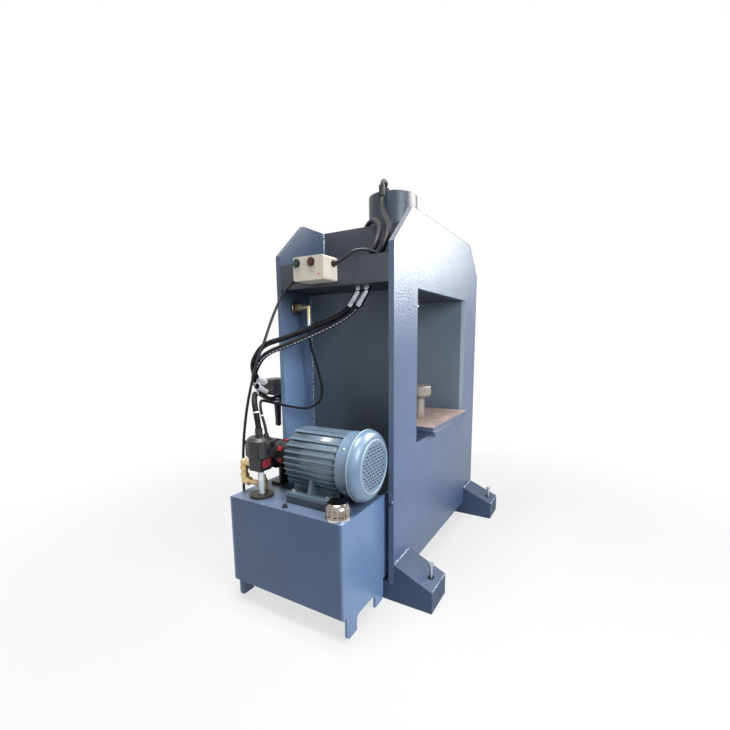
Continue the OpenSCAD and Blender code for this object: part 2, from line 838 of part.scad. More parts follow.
// The end plates close the tank's sides and run down to the floor as legs, with an arch between them
module tank_ends() {
    arch_w = tank_d - leg_inset - 2 * leg_w;
    color(PAINT) press() for (side = [0, 1])
        plate_xz(side == 0 ? tank_y0 : tank_y1 - end_t, end_t) translate([tank_x0, 0])
        polygon(concat([[0, tank_h], [0, tank_base], [leg_inset, tank_base]],
            arc(leg_inset + leg_r, leg_r, leg_r, 180, 270),
            [[leg_inset + leg_w, 0]],
            arc(leg_inset + leg_w + leg_r, arch_h - leg_r, leg_r, 180, 90),
            arc(leg_inset + leg_w + arch_w - leg_r, arch_h - leg_r, leg_r, 90, 0),
            [[leg_inset + leg_w + arch_w, 0]],
            arc(tank_d - leg_r, leg_r, leg_r, 270, 360),
            side == 0 ? [[tank_d, tank_base], [tank_d + end_tuck, tank_base], [tank_d + end_tuck, tank_h]]
                : [[tank_d, tank_h]]));
}

module filler_neck() {
    color(CHROME) press() translate([filler_x, filler_y, tank_h]) difference() {
        union() {
            cylinder(r = filler_flange_r, h = filler_flange_h);
            translate([0, 0, -neck_depth]) cylinder(r = neck_r, h = neck_depth + filler_flange_h + neck_h);
        }
        translate([0, 0, -neck_depth - 1])
            cylinder(r = neck_r - neck_wall, h = neck_depth + filler_flange_h + neck_h + 2);
    }
}

// The filler cap: a pressed cup with a low dome and a scalloped grip, which turns on its neck
module filler_cap() {
    r = filler_d / 2;
    grip_z = filler_h - 16;
    color(CHROME) press() translate([filler_x, filler_y, tank_h + filler_flange_h + free_gap]) difference() {
        rotate_extrude() polygon([[neck_r + run_gap, 0], [r, 0], [r, grip_z], [r - 3, grip_z + 5],
            [r - 5, filler_h - 4], [r - 9, filler_h - 1], [0, filler_h],
            [0, neck_h + 3], [neck_r + run_gap, neck_h + 3]]);
        for (i = [0:scallops - 1]) rotate(i * 360 / scallops)
            translate([r + 6, 0, 5]) cylinder(r = 10, h = grip_z - 8);
    }
}

module tank_plug() {
    color(BLACK) press() translate([plug_x, plug_y, tank_h]) {
        cylinder(r = plug_r, h = 3);
        hexagon([0, 0, 3], 1.3 * plug_r, 8);
        translate([0, 0, -tank_wall - 4]) cylinder(r = plug_r - 2 - seat_gap, h = tank_wall + 4);
    }
}

module suction_pipe() {
    color(ZINC) press() translate([pipe_x, pipe_y, 0]) difference() {
        union() {
            translate([0, 0, tank_h - pipe_depth]) cylinder(d = pipe_d, h = pipe_depth + head_lift);
            translate([0, 0, tank_h]) cylinder(d = pipe_flange_d, h = pipe_flange_h);
        }
        translate([0, 0, tank_h - pipe_depth - 1]) cylinder(d = pipe_d - 6, h = pipe_depth + head_lift + 2);
    }
}

// The motor. Its pieces are drawn along Y from the middle of its feet, at shaft height

module motor() {
    press() translate([motor_x, motor_y, motor_z]) children();
}

module motor_rails() {
    color(PAINT) motor() for (y = [-foot_b / 2, foot_b / 2]) difference() {
        block([-foot_a / 2 - motor_rail_over, y - motor_rail_w / 2, -shaft_h - motor_rail_t],
            [foot_a / 2 + motor_rail_over, y + motor_rail_w / 2, -shaft_h]);
        for (x = [-foot_a / 2, foot_a / 2])
            translate([x, y, -shaft_h - 20]) cylinder(r = motor_bolt_r + seat_gap, h = 21);
    }
}

// Cast frame: flat fins, one over the other, cut to a round outline, on a round core with a spine
// at the top and the bottom. Each foot hangs from the core on a wall and has one web in its middle
module motor_frame() {
    length = frame_front - frame_back;
    rows = floor((fin_d / 2 - fin_t) / fin_pitch);
    spine_h = fin_d / 2 - spine_drop;
    color(MOTOR) motor() difference() {
        union() {
            bar_y([0, frame_back, 0], core_d / 2, length);
            block([-spine_w / 2, frame_back, -spine_h], [spine_w / 2, frame_front, spine_h]);
            intersection() {
                bar_y([0, frame_back, 0], fin_d / 2, length);
                union() for (i = [-rows:rows]) translate([0, 0, i * fin_pitch])
                    block([-fin_d / 2, frame_back, -fin_t / 2], [fin_d / 2, frame_front, fin_t / 2]);
            }
            bar_y([0, frame_back - spigot_l, 0], cover_d / 2 - cover_wall - 2 * seat_gap, spigot_l + 1);
            for (s = [0, 1]) mirror([s, 0, 0]) {
                block([foot_in, -foot_l / 2, -shaft_h], [foot_half, foot_l / 2, foot_t - shaft_h]);
                block([foot_in, -foot_l / 2, -shaft_h],
                    [foot_in + foot_wall, foot_l / 2, foot_in - core_d / 2 - 22]);
                plate_xz(-foot_web / 2, foot_web) polygon([
                    [foot_in, foot_in - core_d / 2 - 22], [core_d / 2 - 2, -30],
                    [foot_half - 8, foot_t - shaft_h - 1], [foot_in, foot_t - shaft_h - 1]]);
            }
        }
        bar_y([0, frame_back + end_wall, 0], stator_r, length);
        bar_y([0, frame_back - spigot_l - 1, 0], rear_shaft_r + run_gap, end_wall + spigot_l + 2);
        for (x = [-foot_a / 2, foot_a / 2], y = [-foot_b / 2, foot_b / 2])
            translate([x, y, -shaft_h - 1]) cylinder(r = motor_bolt_r + seat_gap, h = foot_t + 2);
        for (x = [-foot_a / 2, foot_a / 2], y = [-foot_b / 2, foot_b / 2])
            translate([x, y, foot_t - shaft_h])
                cylinder(r = motor_bolt_af / sqrt(3) + free_gap, h = spanner_h);
    }
}

module drive_shield() {
    lip = 8;
    color(MOTOR) motor() difference() {
        union() {
            translate([0, frame_front, 0]) rotate([-90, 0, 0])
                cylinder(r1 = core_d / 2 - shield_in, r2 = bearing_r + shield_in, h = shoulder - frame_front);
            bar_y([0, shoulder, 0], bearing_r, bearing_h);
            bar_y([0, frame_front - lip, 0], stator_r - seat_gap, lip + 1);
        }
        bar_y([0, frame_front - lip - 1, 0], shaft_d / 2 + run_gap,
            shoulder - frame_front + bearing_h + lip + 2);
    }
}

// Fan cover: a spun cup with a step behind its band, a round shoulder and a slotted end
module fan_cover() {
    band_r = cover_d / 2;
    bulge_r = bulge_d / 2;
    w = cover_wall;
    outside = concat([[band_r, 0], [band_r, band_l], [bulge_r, bulge_at]],
        arc(bulge_r - bulge_bend, cover_l - bulge_bend, bulge_bend, 0, 90, 8));
    inside = concat([[band_r - w, 0], [band_r - w, band_l + w], [bulge_r - w, bulge_at + w]],
        arc(bulge_r - bulge_bend, cover_l - bulge_bend, bulge_bend - w, 0, 90, 8));
    slot_reach = bulge_r - bulge_bend - 8;
    color(MOTOR) motor() translate([0, frame_back, 0]) difference() {
        rotate([90, 0, 0]) rotate_extrude() polygon(concat(outside, [[0, cover_l], [0, cover_l - w]],
            [for (i = [len(inside) - 1:-1:0]) inside[i]]));
        for (row = [0:slot_rows - 1], col = [0:slot_cols - 1]) {
            z = (row - (slot_rows - 1) / 2) * slot_pitch_z;
            x = (col - (slot_cols - 1) / 2 + (row % 2) / 2 - 0.25) * slot_pitch_x;
            if (norm([abs(x) + slot_w / 2, abs(z) + slot_h / 2]) < slot_reach)
                block([x - slot_w / 2, -cover_l - 1, z - slot_h / 2],
                    [x + slot_w / 2, -cover_l + w + 1, z + slot_h / 2]);
        }
    }
}

module cooling_fan() {
    blade_r = cover_d / 2 - cover_wall - 8;
    color(BLACK) motor() difference() {
        union() {
            bar_y([0, fan_y - fan_l, 0], fan_hub_r, fan_l);
            bar_y([0, fan_y - 4, 0], blade_r, 4);
            for (i = [0:fan_blades - 1]) rotate([0, i * 360 / fan_blades, 0])
                block([fan_hub_r - 4, fan_y - fan_l, -fan_blade_t / 2], [blade_r, fan_y, fan_blade_t / 2]);
        }
        bar_y([0, fan_y - fan_l - 1, 0], rear_shaft_r + run_gap, fan_l + 2);
    }
}

// Two shafts: the motor's, with its rotor, and the pump's
module drive_shafts() {
    core_back = frame_back + end_wall + 24;
    core_front = frame_front - 32;
    pump_shaft_y = hub_y + hub_l + spider_l + 2 - motor_y;
    color(ZINC) motor() {
        union() {
            bar_y([0, fan_y - fan_l - 2, 0], rear_shaft_r, core_back - fan_y + fan_l + 3);
            bar_y([0, core_back, 0], stator_r - air_gap, core_front - core_back);
            bar_y([0, core_front - 1, 0], shaft_d / 2, hub_y + hub_l - motor_y - core_front);
        }
        bar_y([0, pump_shaft_y, 0], pump_shaft_r, pump_y + pump_l / 2 - motor_y - pump_shaft_y);
    }
}

module terminal_box() {
    x0 = core_d / 2 - 4;
    color(MOTOR) motor() translate([x0, -20 - tbox_w / 2, tbox_z - motor_z - tbox_h / 2]) difference() {
        union() {
            rotate([90, 0, 90]) linear_extrude(tbox_d) polygon(round_rect(tbox_w, tbox_h, 8));
            translate([tbox_d, -2, -2]) rotate([90, 0, 90]) linear_extrude(6)
                polygon(round_rect(tbox_w + 4, tbox_h + 4, 9));
        }
        translate([-x0, -20, tbox_h / 2 - tbox_z + motor_z]) rotate([-90, 0, 0])
            cylinder(r = fin_d / 2 + seat_gap, h = tbox_w + 40);
    }
}

module motor_bolts() {
    color(ZINC) motor() for (x = [-foot_a / 2, foot_a / 2], y = [-foot_b / 2, foot_b / 2]) {
        hexagon([x, y, foot_t - shaft_h], motor_bolt_af, motor_bolt_h);
        translate([x, y, -shaft_h - 18]) cylinder(r = motor_bolt_r, h = 18 + foot_t + 1);
    }
}

// Jaw coupling: three jaws on each hub reach between the arms of the spider
module wedge(r0, r1, turn) {
    polygon(concat(arc(0, 0, r0, -turn / 2, turn / 2, 4), arc(0, 0, r1, turn / 2, -turn / 2, 6)));
}

module coupling_hub(face, jaw_from, shift, r) {
    difference() {
        union() {
            bar_y([0, face, 0], coupling_d / 2, hub_l);
            for (i = [0:jaws - 1]) rotate([0, shift + i * 360 / jaws, 0])
                plate_xz(jaw_from, spider_l - 1) wedge(jaw_root_r + 2, coupling_d / 2 - 1, jaw_turn);
        }
        bar_y([0, face - 1, 0], r, hub_l + 2);
    }
}

module coupling_hubs() {
    color(BLACK) press() translate([motor_x, 0, motor_z]) {
        coupling_hub(hub_y, hub_y + hub_l - 0.5, 0, shaft_d / 2 + run_gap);
        coupling_hub(hub_y + hub_l + spider_l, hub_y + hub_l + 1.5, 180 / jaws, pump_shaft_r + run_gap);
    }
}

module coupling_spider() {
    arms = 2 * jaws;
    arm_turn = 360 / arms - jaw_turn - jaw_gap;
    y = hub_y + hub_l + 0.3;
    l = spider_l - 0.6;
    color("#b02a2c") press() translate([motor_x, 0, motor_z]) union() {
        bar_y([0, y, 0], jaw_root_r, l);
        for (i = [0:arms - 1]) rotate([0, (i + 0.5) * 360 / arms, 0])
            plate_xz(y, l) wedge(jaw_root_r - 3, coupling_d / 2 + 2, arm_turn);
    }
}

// Gear pump: a body round both gears, flanged to its bracket, with a short pipe to the valve head
module gear_pump() {
    r = pump_w / 2;
    lower = pump_h - pump_w;
    color(BLACK) press() difference() {
        union() {
            translate([motor_x, 0, motor_z]) {
                bar_y([0, pump_y, 0], r, pump_l);
                bar_y([0, pump_y, -lower], r, pump_l);
                block([-r, pump_y, -lower], [r, pump_y + pump_l, 0]);
                block([-r - 6, pump_y, -lower - r + 14], [r + 6, pump_y + 14, r - 14]);
                bar_y([0, pump_y - bracket_t, 0], pump_spigot_r, bracket_t + 1);
            }
            bar_x([pipe_x + head_block_w / 2, link_y, link_z], link_r,
                motor_x - r + 3 - pipe_x - head_block_w / 2);
            bar_x([motor_x - r - 12, link_y, link_z], link_r + 5, 16);
        }
        bar_y([motor_x, pump_y - bracket_t - 1, motor_z], pump_shaft_r + run_gap, pump_l / 2 + bracket_t + 2);
    }
}

module pump_bracket() {
    color(PAINT) press() translate([motor_x, 0, 0]) difference() {
        union() {
            bar_y([0, bracket_y, motor_z], pump_spigot_r + bracket_ring, bracket_t);
            block([0, bracket_y, tank_h], [bracket_w, pump_y, motor_z]);
            block([0, bracket_y, tank_h], [bracket_w, bracket_y + bracket_foot, tank_h + bracket_t]);
        }
        bar_y([0, bracket_y - 1, motor_z], pump_spigot_r + seat_gap, bracket_t + 2);
    }
}

// Valve head: a square block on the suction pipe with a round body over it
module valve_head() {
    rib = 9;
    color(BLACK) press() translate([pipe_x, pipe_y, 0]) {
        difference() {
            union() {
                block([-head_block_w / 2, -head_block_w / 2, head_z],
                    [head_block_w / 2, head_block_w / 2, dome_z]);
                translate([0, 0, dome_z]) cylinder(d = head_dome_d, h = head_dome_h - 10);
                translate([0, 0, head_top - 10]) cylinder(d1 = head_dome_d, d2 = head_dome_d - 20, h = 10);
                for (turn = [0:90:270]) rotate(turn + 25)
                    block([head_dome_d / 2 - rib, -rib, dome_z], [head_dome_d / 2 + 4, rib, head_top - 14]);
                bar_y([0, -head_dome_d / 2 - knob_l, knob_z], knob_r, knob_l + 24);
                bar_between([0, 0, head_top - 4], head_end - [pipe_x, pipe_y, 0], hose_d / 2 + 3);
                bar_between([12, -24, head_top - 4], gauge_port - [pipe_x, pipe_y, 0], gauge_hose_d / 2 + 3);
            }
            bar_y([0, -head_dome_d / 2 - knob_l - 1, knob_z], knob_r - 9, 12);
        }
    }
}

// Brass pipework: the bypass from the valve head back to its pipe, and the return fitting on the tank
module brass_pipework() {
    start = [pipe_x, pipe_y + head_block_w / 2, brass_top_z];
    out = [pipe_x, brass_y, brass_top_z];
    low = [pipe_x, brass_y, brass_low_z];
    back = [pipe_x, pipe_y + pipe_d / 2 + seat_gap, brass_low_z];
    color(BRASS) press() {
        union() {
            bar_between(start, out, brass_r);
            bar_between(out, low, brass_r);
            bar_between(low, back, brass_r - 2);
            for (p = [out, low]) translate(p) sphere(r = brass_r + 2);
            for (z = [brass_low_z + 14, brass_top_z - 26]) hexagon([pipe_x, brass_y, z], 2 * brass_r + 5, 12);
            translate(start) rotate([-90, 0, 0]) cylinder(r = brass_r + 4, h = 14, $fn = 6);
            translate(low - [0, 26, 0]) rotate([-90, 0, 0]) cylinder(r = brass_r + 4, h = 14, $fn = 6);
        }
        union() {
            translate([boss_x, boss_y, tank_h]) cylinder(r = boss_r, h = boss_h);
            hexagon([boss_x, boss_y, tank_h + boss_h], boss_af, 12);
            translate([boss_x, boss_y, tank_h + boss_h]) cylinder(r = 7, h = boss_stem_h);
        }
    }
}

// Hand valve and gauge on the rear plate

module hand_valve() {
    color("#33352f") press() union() {
        block([valve_x0, outer_y, valve_z0], [valve_x1, valve_y1, valve_z1]);
        block([inlet_x0, outer_y, inlet_z - inlet_h / 2], [inlet_x0 + inlet_w, valve_y1 - 6, valve_z0]);
        bar_x([valve_x1, valve_y, (valve_z0 + valve_z1) / 2], spool_r, spool_l);
        bar_y([lever_x, valve_y1 - 7, lever_z], lever_pin_r, lever_t + lever_gap + 14);
        bar_y([lever_x, valve_y1 - 6 + lever_t + 2 * lever_gap + 4, lever_z], lever_pin_r + 5, 4);
        bar_y([lever_x, valve_y1 - 7, lever_z], lever_pin_r + 5, 5 - lever_gap);
    }
}

// The lever hangs on its pin and tapers to a round grip
module hand_lever() {
    y = valve_y1 - 2;
    tip = lever_l - 12;
    color(BLACK) press() difference() {
        union() {
            bar_y([lever_x, y, lever_z], 17, lever_t);
            plate_xz(y, lever_t) translate([lever_x, lever_z])
                polygon([[-17, 0], [17, 0], [10, -tip], [-10, -tip]]);
            bar_y([lever_x, y, lever_z - tip], 12, lever_t);
        }
        bar_y([lever_x, y - 1, lever_z], lever_pin_r + run_gap, lever_t + 2);
    }
}

module gauge_case() {
    face = outer_y + bezel_h;
    color(BLACK) press() difference() {
        union() {
            bar_y([gauge_x, inner_y - gauge_back, gauge_z], gauge_d / 2, plate_t + gauge_back + 1);
            bar_y([gauge_x, outer_y, gauge_z], bezel_r, bezel_h);
        }
        difference() {
            bar_y([gauge_x, face - dial_depth, gauge_z], dial_r, dial_depth + 1);
            bar_y([gauge_x, face - dial_depth - 1, gauge_z], needle_pin_r, 6);
            bar_y([gauge_x, face - dial_depth - 1, gauge_z], needle_pin_r + 2, 2);
        }
    }
}

module gauge_needle() {
    y = outer_y + bezel_h - dial_depth + 1.5;
    t = 1.5;
    color("#c8342c") press() translate([gauge_x, 0, gauge_z]) difference() {
        union() {
            bar_y([0, y, 0], 4, t);
            rotate([0, -45, 0]) plate_xz(y, t) polygon([[-1.6, 10], [1.6, 10], [0.5, -24], [-0.5, -24]]);
        }
        bar_y([0, y - 1, 0], needle_pin_r + run_gap, t + 2);
    }
}

module gauge_fitting() {
    elbow = [gauge_x, gauge_elbow_y, gauge_z];
    back = inner_y - gauge_back;
    color(BRASS) press() union() {
        bar_y([gauge_x, gauge_elbow_y, gauge_z], 6, back - gauge_elbow_y);
        translate([gauge_x, back - 16, gauge_z]) rotate([-90, 0, 0]) cylinder(r = 15, h = 16, $fn = 6);
        translate([gauge_x, back - 40, gauge_z]) rotate([-90, 0, 0]) cylinder(r = 10, h = 12, $fn = 6);
        translate(elbow) sphere(r = 10);
        bar_between(elbow, elbow - [0, 0, gauge_tail], 8);
        bar_between(elbow - [0, 0, gauge_tail - 1], gauge_end, gauge_hose_d / 2 + 3);
    }
}

// Control box

module box_shell(x, d, open_from, open_to) {
    difference() {
        translate([x, box_y0, box_z0]) rotate([90, 0, 90]) linear_extrude(d)
            polygon(round_rect(box_w, box_h, box_r));
        translate([open_from, box_y0 + box_wall, box_z0 + box_wall]) rotate([90, 0, 90])
            linear_extrude(open_to - open_from)
                polygon(round_rect(box_w - 2 * box_wall, box_h - 2 * box_wall, box_r - box_wall + 1));
    }
}

module control_box() {
    color(IVORY) press() difference() {
        box_shell(box_x0 + lid_d, box_d - lid_d, box_x0 + lid_d - 1, box_x1 - box_wall);
        bar_y([lead_x, box_y0 - 1, lead_z], gland_r - 2, box_wall + 2);
        bar_y([supply_x, box_y1 - box_wall - 1, supply_z], gland_r - 2, box_wall + 2);
    }
}

module control_lid() {
    color(IVORY) press() difference() {
        box_shell(box_x0, lid_d, box_x0 + box_wall, box_x0 + lid_d + 1);
        for (y = button_y) bar_x([box_x0 - 1, y, button_z], button_d / 2 + run_gap, box_wall + 2);
    }
}

module push_button(y) {
    stop_r = button_d / 2 + 2;
    press() union() {
        bar_x([box_x0 - button_out, y, button_z], button_d / 2, button_out + button_in);
        bar_x([box_x0 + box_wall + 0.3, y, button_z], stop_r, 4);
    }
}

module start_button() {
    color("#1d5a3c") push_button(button_y[0]);
}

module stop_button() {
    color("#8a1f1c") push_button(button_y[1]);
}

module cable_gland(from, to) {
    union() {
        bar_between(from, to, gland_r);
        bar_between(from, from + 0.35 * (to - from), gland_r + 3);
        bar_between(from - 0.3 * (to - from), from, gland_r - 2 - seat_gap);
    }
}

module cable_glands() {
    color(BRASS) press() {
        cable_gland([lead_x, box_y0, lead_z], lead_end);
        cable_gland([supply_x, box_y1, supply_z], supply_end);
        bar_between(tbox_end + [0, gland_l, 0], tbox_end, gland_r);
    }
}

// Hoses and cables

module advance_hose() {
    color(BLACK) press() cord(advance_route, hose_d, [1, 0, 0.3]);
}

module return_hose() {
    color(BLACK) press() cord(return_route, hose_d, [1, 0, 0.3]);
}

module cap_hose() {
    color(BLACK) press() cord(cap_route, hose_d, [0, 1, 0.3]);
}

module rod_hose() {
    color(BLACK) press() cord(rod_route, hose_d, [1, -1, 0]);
}

module pump_hose() {
    color(BLACK) press() cord(pump_route, hose_d, [0, 1, 0]);
}

module gauge_hose() {
    color(BLACK) press() cord(gauge_route, gauge_hose_d, [0, 1, 0]);
}

module motor_lead() {
    color(BLACK) press() cord(lead_route, cable_d, [1, 0, 0]);
}

module supply_cable() {
    color(BLACK) press() {
        cord(supply_route, cable_d, [1, 0, 0]);
        cord(tail_route, cable_d, [0, 0, 1]);
    }
}

module cable_coil() {
    color(BLACK) press() translate([coil_x, coil_y, 0]) rotate_extrude()
        translate([coil_r - coil_rows * cable_d / 2, 0]) square([coil_rows * cable_d, 2 * cable_d]);
}

module supply_plug() {
    neck = tail_route[len(tail_route) - 1];
    color(BLACK) press() translate(neck) {
        bar_y([0, 0, 0], plug_neck_r, plug_neck_l + 1);
        bar_y([0, plug_neck_l, 0], plug_body_r, plug_l);
        for (turn = [0, 120, 240]) rotate([0, turn, 0])
            bar_y([0, plug_neck_l + plug_l - 1, 10], plug_pin_r, plug_pin_l + 1);
    }
}

front_plate();
rear_plate();
side_webs();
crown_walls();
cylinder_seat();
bed_plate();
bed_ribs();
hose_shelf();
left_base_rail();
right_base_rail();
levelling_bolts();
bolster_plates();
press_tool();
cylinder_barrel();
cylinder_cap();
rod_gland();
gland_bolts();
piston();
ram();
hose_fittings();
oil_tank();
tank_ends();
filler_neck();
filler_cap();
tank_plug();
suction_pipe();
motor_rails();
motor_frame();
drive_shield();
fan_cover();
cooling_fan();
drive_shafts();
terminal_box();
motor_bolts();
coupling_hubs();
coupling_spider();
gear_pump();
pump_bracket();
valve_head();
brass_pipework();
hand_valve();
hand_lever();
gauge_case();
gauge_needle();
gauge_fitting();
control_box();
control_lid();
start_button();
stop_button();
cable_glands();
advance_hose();
return_hose();
cap_hose();
rod_hose();
pump_hose();
gauge_hose();
motor_lead();
supply_cable();
cable_coil();
supply_plug();
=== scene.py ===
# A hydraulic press, dressed for its photograph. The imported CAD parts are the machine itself; this
# script gives each of them its finish and adds welds, screws, hoses, ties and the gauge's dial.
import math

import bmesh
import bpy
import numpy as np
from mathutils import Matrix, Vector


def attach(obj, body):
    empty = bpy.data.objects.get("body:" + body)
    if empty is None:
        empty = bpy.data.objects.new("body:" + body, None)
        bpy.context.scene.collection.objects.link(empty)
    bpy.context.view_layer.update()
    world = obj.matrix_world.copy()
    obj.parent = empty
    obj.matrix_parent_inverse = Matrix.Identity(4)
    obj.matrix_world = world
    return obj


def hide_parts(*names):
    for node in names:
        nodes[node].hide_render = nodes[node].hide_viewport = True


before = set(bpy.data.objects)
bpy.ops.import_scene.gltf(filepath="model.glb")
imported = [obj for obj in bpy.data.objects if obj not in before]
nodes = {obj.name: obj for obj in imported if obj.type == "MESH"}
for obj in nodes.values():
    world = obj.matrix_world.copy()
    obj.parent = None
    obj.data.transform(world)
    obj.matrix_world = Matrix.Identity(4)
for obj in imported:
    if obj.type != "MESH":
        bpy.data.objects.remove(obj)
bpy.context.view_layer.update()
scene = bpy.context.scene


# Camera: the picture was taken from in front of the tank, at chest height, with a wide lens.
# Place, turn and angle of view were fitted to the edges of the frame and the tank.
EYE = np.array([-1.5722, -0.8398, 0.9505])
YAW, PITCH, ROLL = 0.527, -0.152, 0.009
IMAGE_PX = 730
FOCUS_PX = 401.5
CENTRE_DROP_PX = 35
SENSOR_MM = 36
SIGHT_M = 200

ahead = np.array([math.cos(YAW) * math.cos(PITCH), math.sin(YAW) * math.cos(PITCH),
                  math.sin(PITCH)])
level_right = np.cross(ahead, (0, 0, 1)) / math.cos(PITCH)
level_down = np.cross(ahead, level_right)
image_right = math.cos(ROLL) * level_right + math.sin(ROLL) * level_down
image_down = math.cos(ROLL) * level_down - math.sin(ROLL) * level_right
camera_data = bpy.data.cameras.new("camera")
camera_data.sensor_width = SENSOR_MM
camera_data.lens = SENSOR_MM * FOCUS_PX / IMAGE_PX
camera_data.shift_y = CENTRE_DROP_PX / IMAGE_PX
camera_data.clip_end = SIGHT_M
camera = bpy.data.objects.new("camera", camera_data)
scene.collection.objects.link(camera)
camera_turn = np.eye(4)
camera_turn[:3, 0] = image_right
camera_turn[:3, 1] = -image_down
camera_turn[:3, 2] = -ahead
camera_turn[:3, 3] = EYE
camera.matrix_world = Matrix(camera_turn.tolist())
scene.camera = camera
scene.view_settings.view_transform = "Standard"


# Floor and light: a pale studio floor that runs out into white, a broad lamp before the front
# plate, one over the tank, and a card at the right whose gloss lies on that plate's upper part.
FLOOR_HALF = 30.0
FLOOR_DROP = 0.0015
FLOOR_NEAR, FLOOR_FAR = 0.9, 2.2
FLOOR_WHITE = 0.7
FLOOR_GREY = (0.48, 0.48, 0.49, 1)
FLOOR_ROUGH, FLOOR_SPECULAR = 0.9, 0.1
SKY_COLOUR, SKY_STRENGTH = (1.0, 0.985, 0.96, 1), 0.17


def combine(tree, operation, first, second):
    """One value from two, by a plain operation: MULTIPLY is their product, MAXIMUM the larger."""
    node = tree.nodes.new("ShaderNodeMath")
    node.operation = operation
    tree.links.new(first, node.inputs[0])
    tree.links.new(second, node.inputs[1])
    return node.outputs["Value"]


def seen_share(tree):
    """1 for rays from the camera, off gloss or through glass, else 0: the largest of the three."""
    path = tree.nodes.new("ShaderNodeLightPath")
    seen = combine(tree, "MAXIMUM", path.outputs["Is Camera Ray"], path.outputs["Is Glossy Ray"])
    return combine(tree, "MAXIMUM", seen, path.outputs["Is Transmission Ray"])


def blend_shaders(tree, share, under, over, output):
    """Puts a blend of two shaders on an output: under where share is 0, over where it is 1."""
    mix = tree.nodes.new("ShaderNodeMixShader")
    tree.links.new(share, mix.inputs["Fac"])
    tree.links.new(under, mix.inputs[1])
    tree.links.new(over, mix.inputs[2])
    tree.links.new(mix.outputs["Shader"], tree.nodes[output].inputs["Surface"])


def lamp(name, place, target, size, power, colour):
    """A square soft lamp at a place, turned to face its target."""
    data = bpy.data.lights.new(name, "AREA")
    data.size = size
    data.energy = power
    data.color = colour
    lit = bpy.data.objects.new(name, data)
    scene.collection.objects.link(lit)
    lit.location = place
    lit.rotation_mode = "QUATERNION"
    lit.rotation_quaternion = (Vector(target) - Vector(place)).to_track_quat("-Z", "Y")
    lit.visible_camera = False
    return lit


floor_mesh = bpy.data.meshes.new("floor")
corners = FLOOR_HALF * np.array([[-1, -1, 0], [1, -1, 0], [1, 1, 0], [-1, 1, 0]])
floor_mesh.from_pydata((corners - [0, 0, FLOOR_DROP]).tolist(), [], [[0, 1, 2, 3]])
floor = bpy.data.objects.new("floor", floor_mesh)
scene.collection.objects.link(floor)

floor_paint = bpy.data.materials.new("studio_floor")
floor_paint.use_nodes = True
floor_tree = floor_paint.node_tree
floor_shader = floor_tree.nodes["Principled BSDF"]
floor_shader.inputs["Base Color"].default_value = FLOOR_GREY
floor_shader.inputs["Roughness"].default_value = FLOOR_ROUGH
floor_shader.inputs["Specular IOR Level"].default_value = FLOOR_SPECULAR
place = floor_tree.nodes.new("ShaderNodeTexCoord")
reach = floor_tree.nodes.new("ShaderNodeVectorMath")
reach.operation = "LENGTH"
fade = floor_tree.nodes.new("ShaderNodeMapRange")
fade.interpolation_type = "SMOOTHSTEP"
fade.inputs["From Min"].default_value = FLOOR_NEAR
fade.inputs["From Max"].default_value = FLOOR_FAR
fade.inputs["To Min"].default_value = FLOOR_WHITE
white = floor_tree.nodes.new("ShaderNodeEmission")
floor_tree.links.new(place.outputs["Object"], reach.inputs[0])
floor_tree.links.new(reach.outputs["Value"], fade.inputs["Value"])
white_share = combine(floor_tree, "MULTIPLY", fade.outputs["Result"], seen_share(floor_tree))
blend_shaders(floor_tree, white_share, floor_shader.outputs["BSDF"], white.outputs["Emission"],
              "Material Output")
floor_mesh.materials.append(floor_paint)

world = bpy.data.worlds.new("studio")
scene.world = world
world.use_nodes = True
world_tree = world.node_tree
sky = world_tree.nodes["Background"]
sky.inputs["Color"].default_value = SKY_COLOUR
sky.inputs["Strength"].default_value = SKY_STRENGTH
white_sky = world_tree.nodes.new("ShaderNodeBackground")
white_sky.inputs["Color"].default_value = (1, 1, 1, 1)
blend_shaders(world_tree, seen_share(world_tree), sky.outputs["Background"],
              white_sky.outputs["Background"], "World Output")

lamp("front_lamp", (-1.1, -2.5, 1.9), (-0.3, 0.0, 0.7), size=1.4, power=88,
     colour=(0.87, 0.94, 1.0))
lamp("top_lamp", (-0.75, 0.0, 4.6), (-0.55, 0.0, 0.4), size=1.6, power=280,
     colour=(1.0, 0.98, 0.95))
gloss_card = lamp("gloss_card", (1.1, -1.3, 1.95), (0.0, -0.25, 1.25), size=1.25, power=96,
                  colour=(1.0, 0.965, 0.9))
gloss_card.visible_diffuse = False


# Machine paint: grey-blue enamel, sprayed on the welded frame, the tank and the cylinder. It is
# semi-gloss with a fine orange-peel texture. Its lighter and darker copies and overlays are
# painted light and shade: the frame's upward and outer left edges, the crown's walls, seat and
# shelf, the rails and the cylinder are painted darker as shade; faces turned left, the rear
# plate, the webs and the tank's ends and top are painted lighter as light.
PAINT_LIGHT, PAINT_DARK = "#52688a", "#4a5e7c"
TOP_EDGE_SHADE, LEFT_EDGE_SHADE, LEFT_FACE_LIGHT = "#3a4657", "#4b5b72", "#a3aebf"
TANK_TOP_LIGHT, REAR_TOP_PAINT = "#5a6880", "#47556a"
LEFT_EDGE_IN_M, LEFT_EDGE_OUT_M = -0.3645, -0.3649
REAR_DARK_FROM_M, REAR_DARK_TO_M = 0.8, 1.12
NOISE_LOW, NOISE_HIGH = 0.32, 0.68
ROUGH_DRIFT = 0.06
STAIN_ROUGH, STAIN_METALLIC, STAIN_FINER = 0.25, 0.1, 9
COAT_ROUGH = 0.18
BUMP_M = 0.0006


def tint(code):
    """A colour written as red, green and blue in hexadecimal, made linear by the sRGB curve."""
    level = np.array([int(code[i:i + 2], 16) for i in (1, 3, 5)]) / 255
    linear = np.where(level <= 0.04045, level / 12.92, ((level + 0.055) / 1.055) ** 2.4)
    return (*linear.tolist(), 1.0)


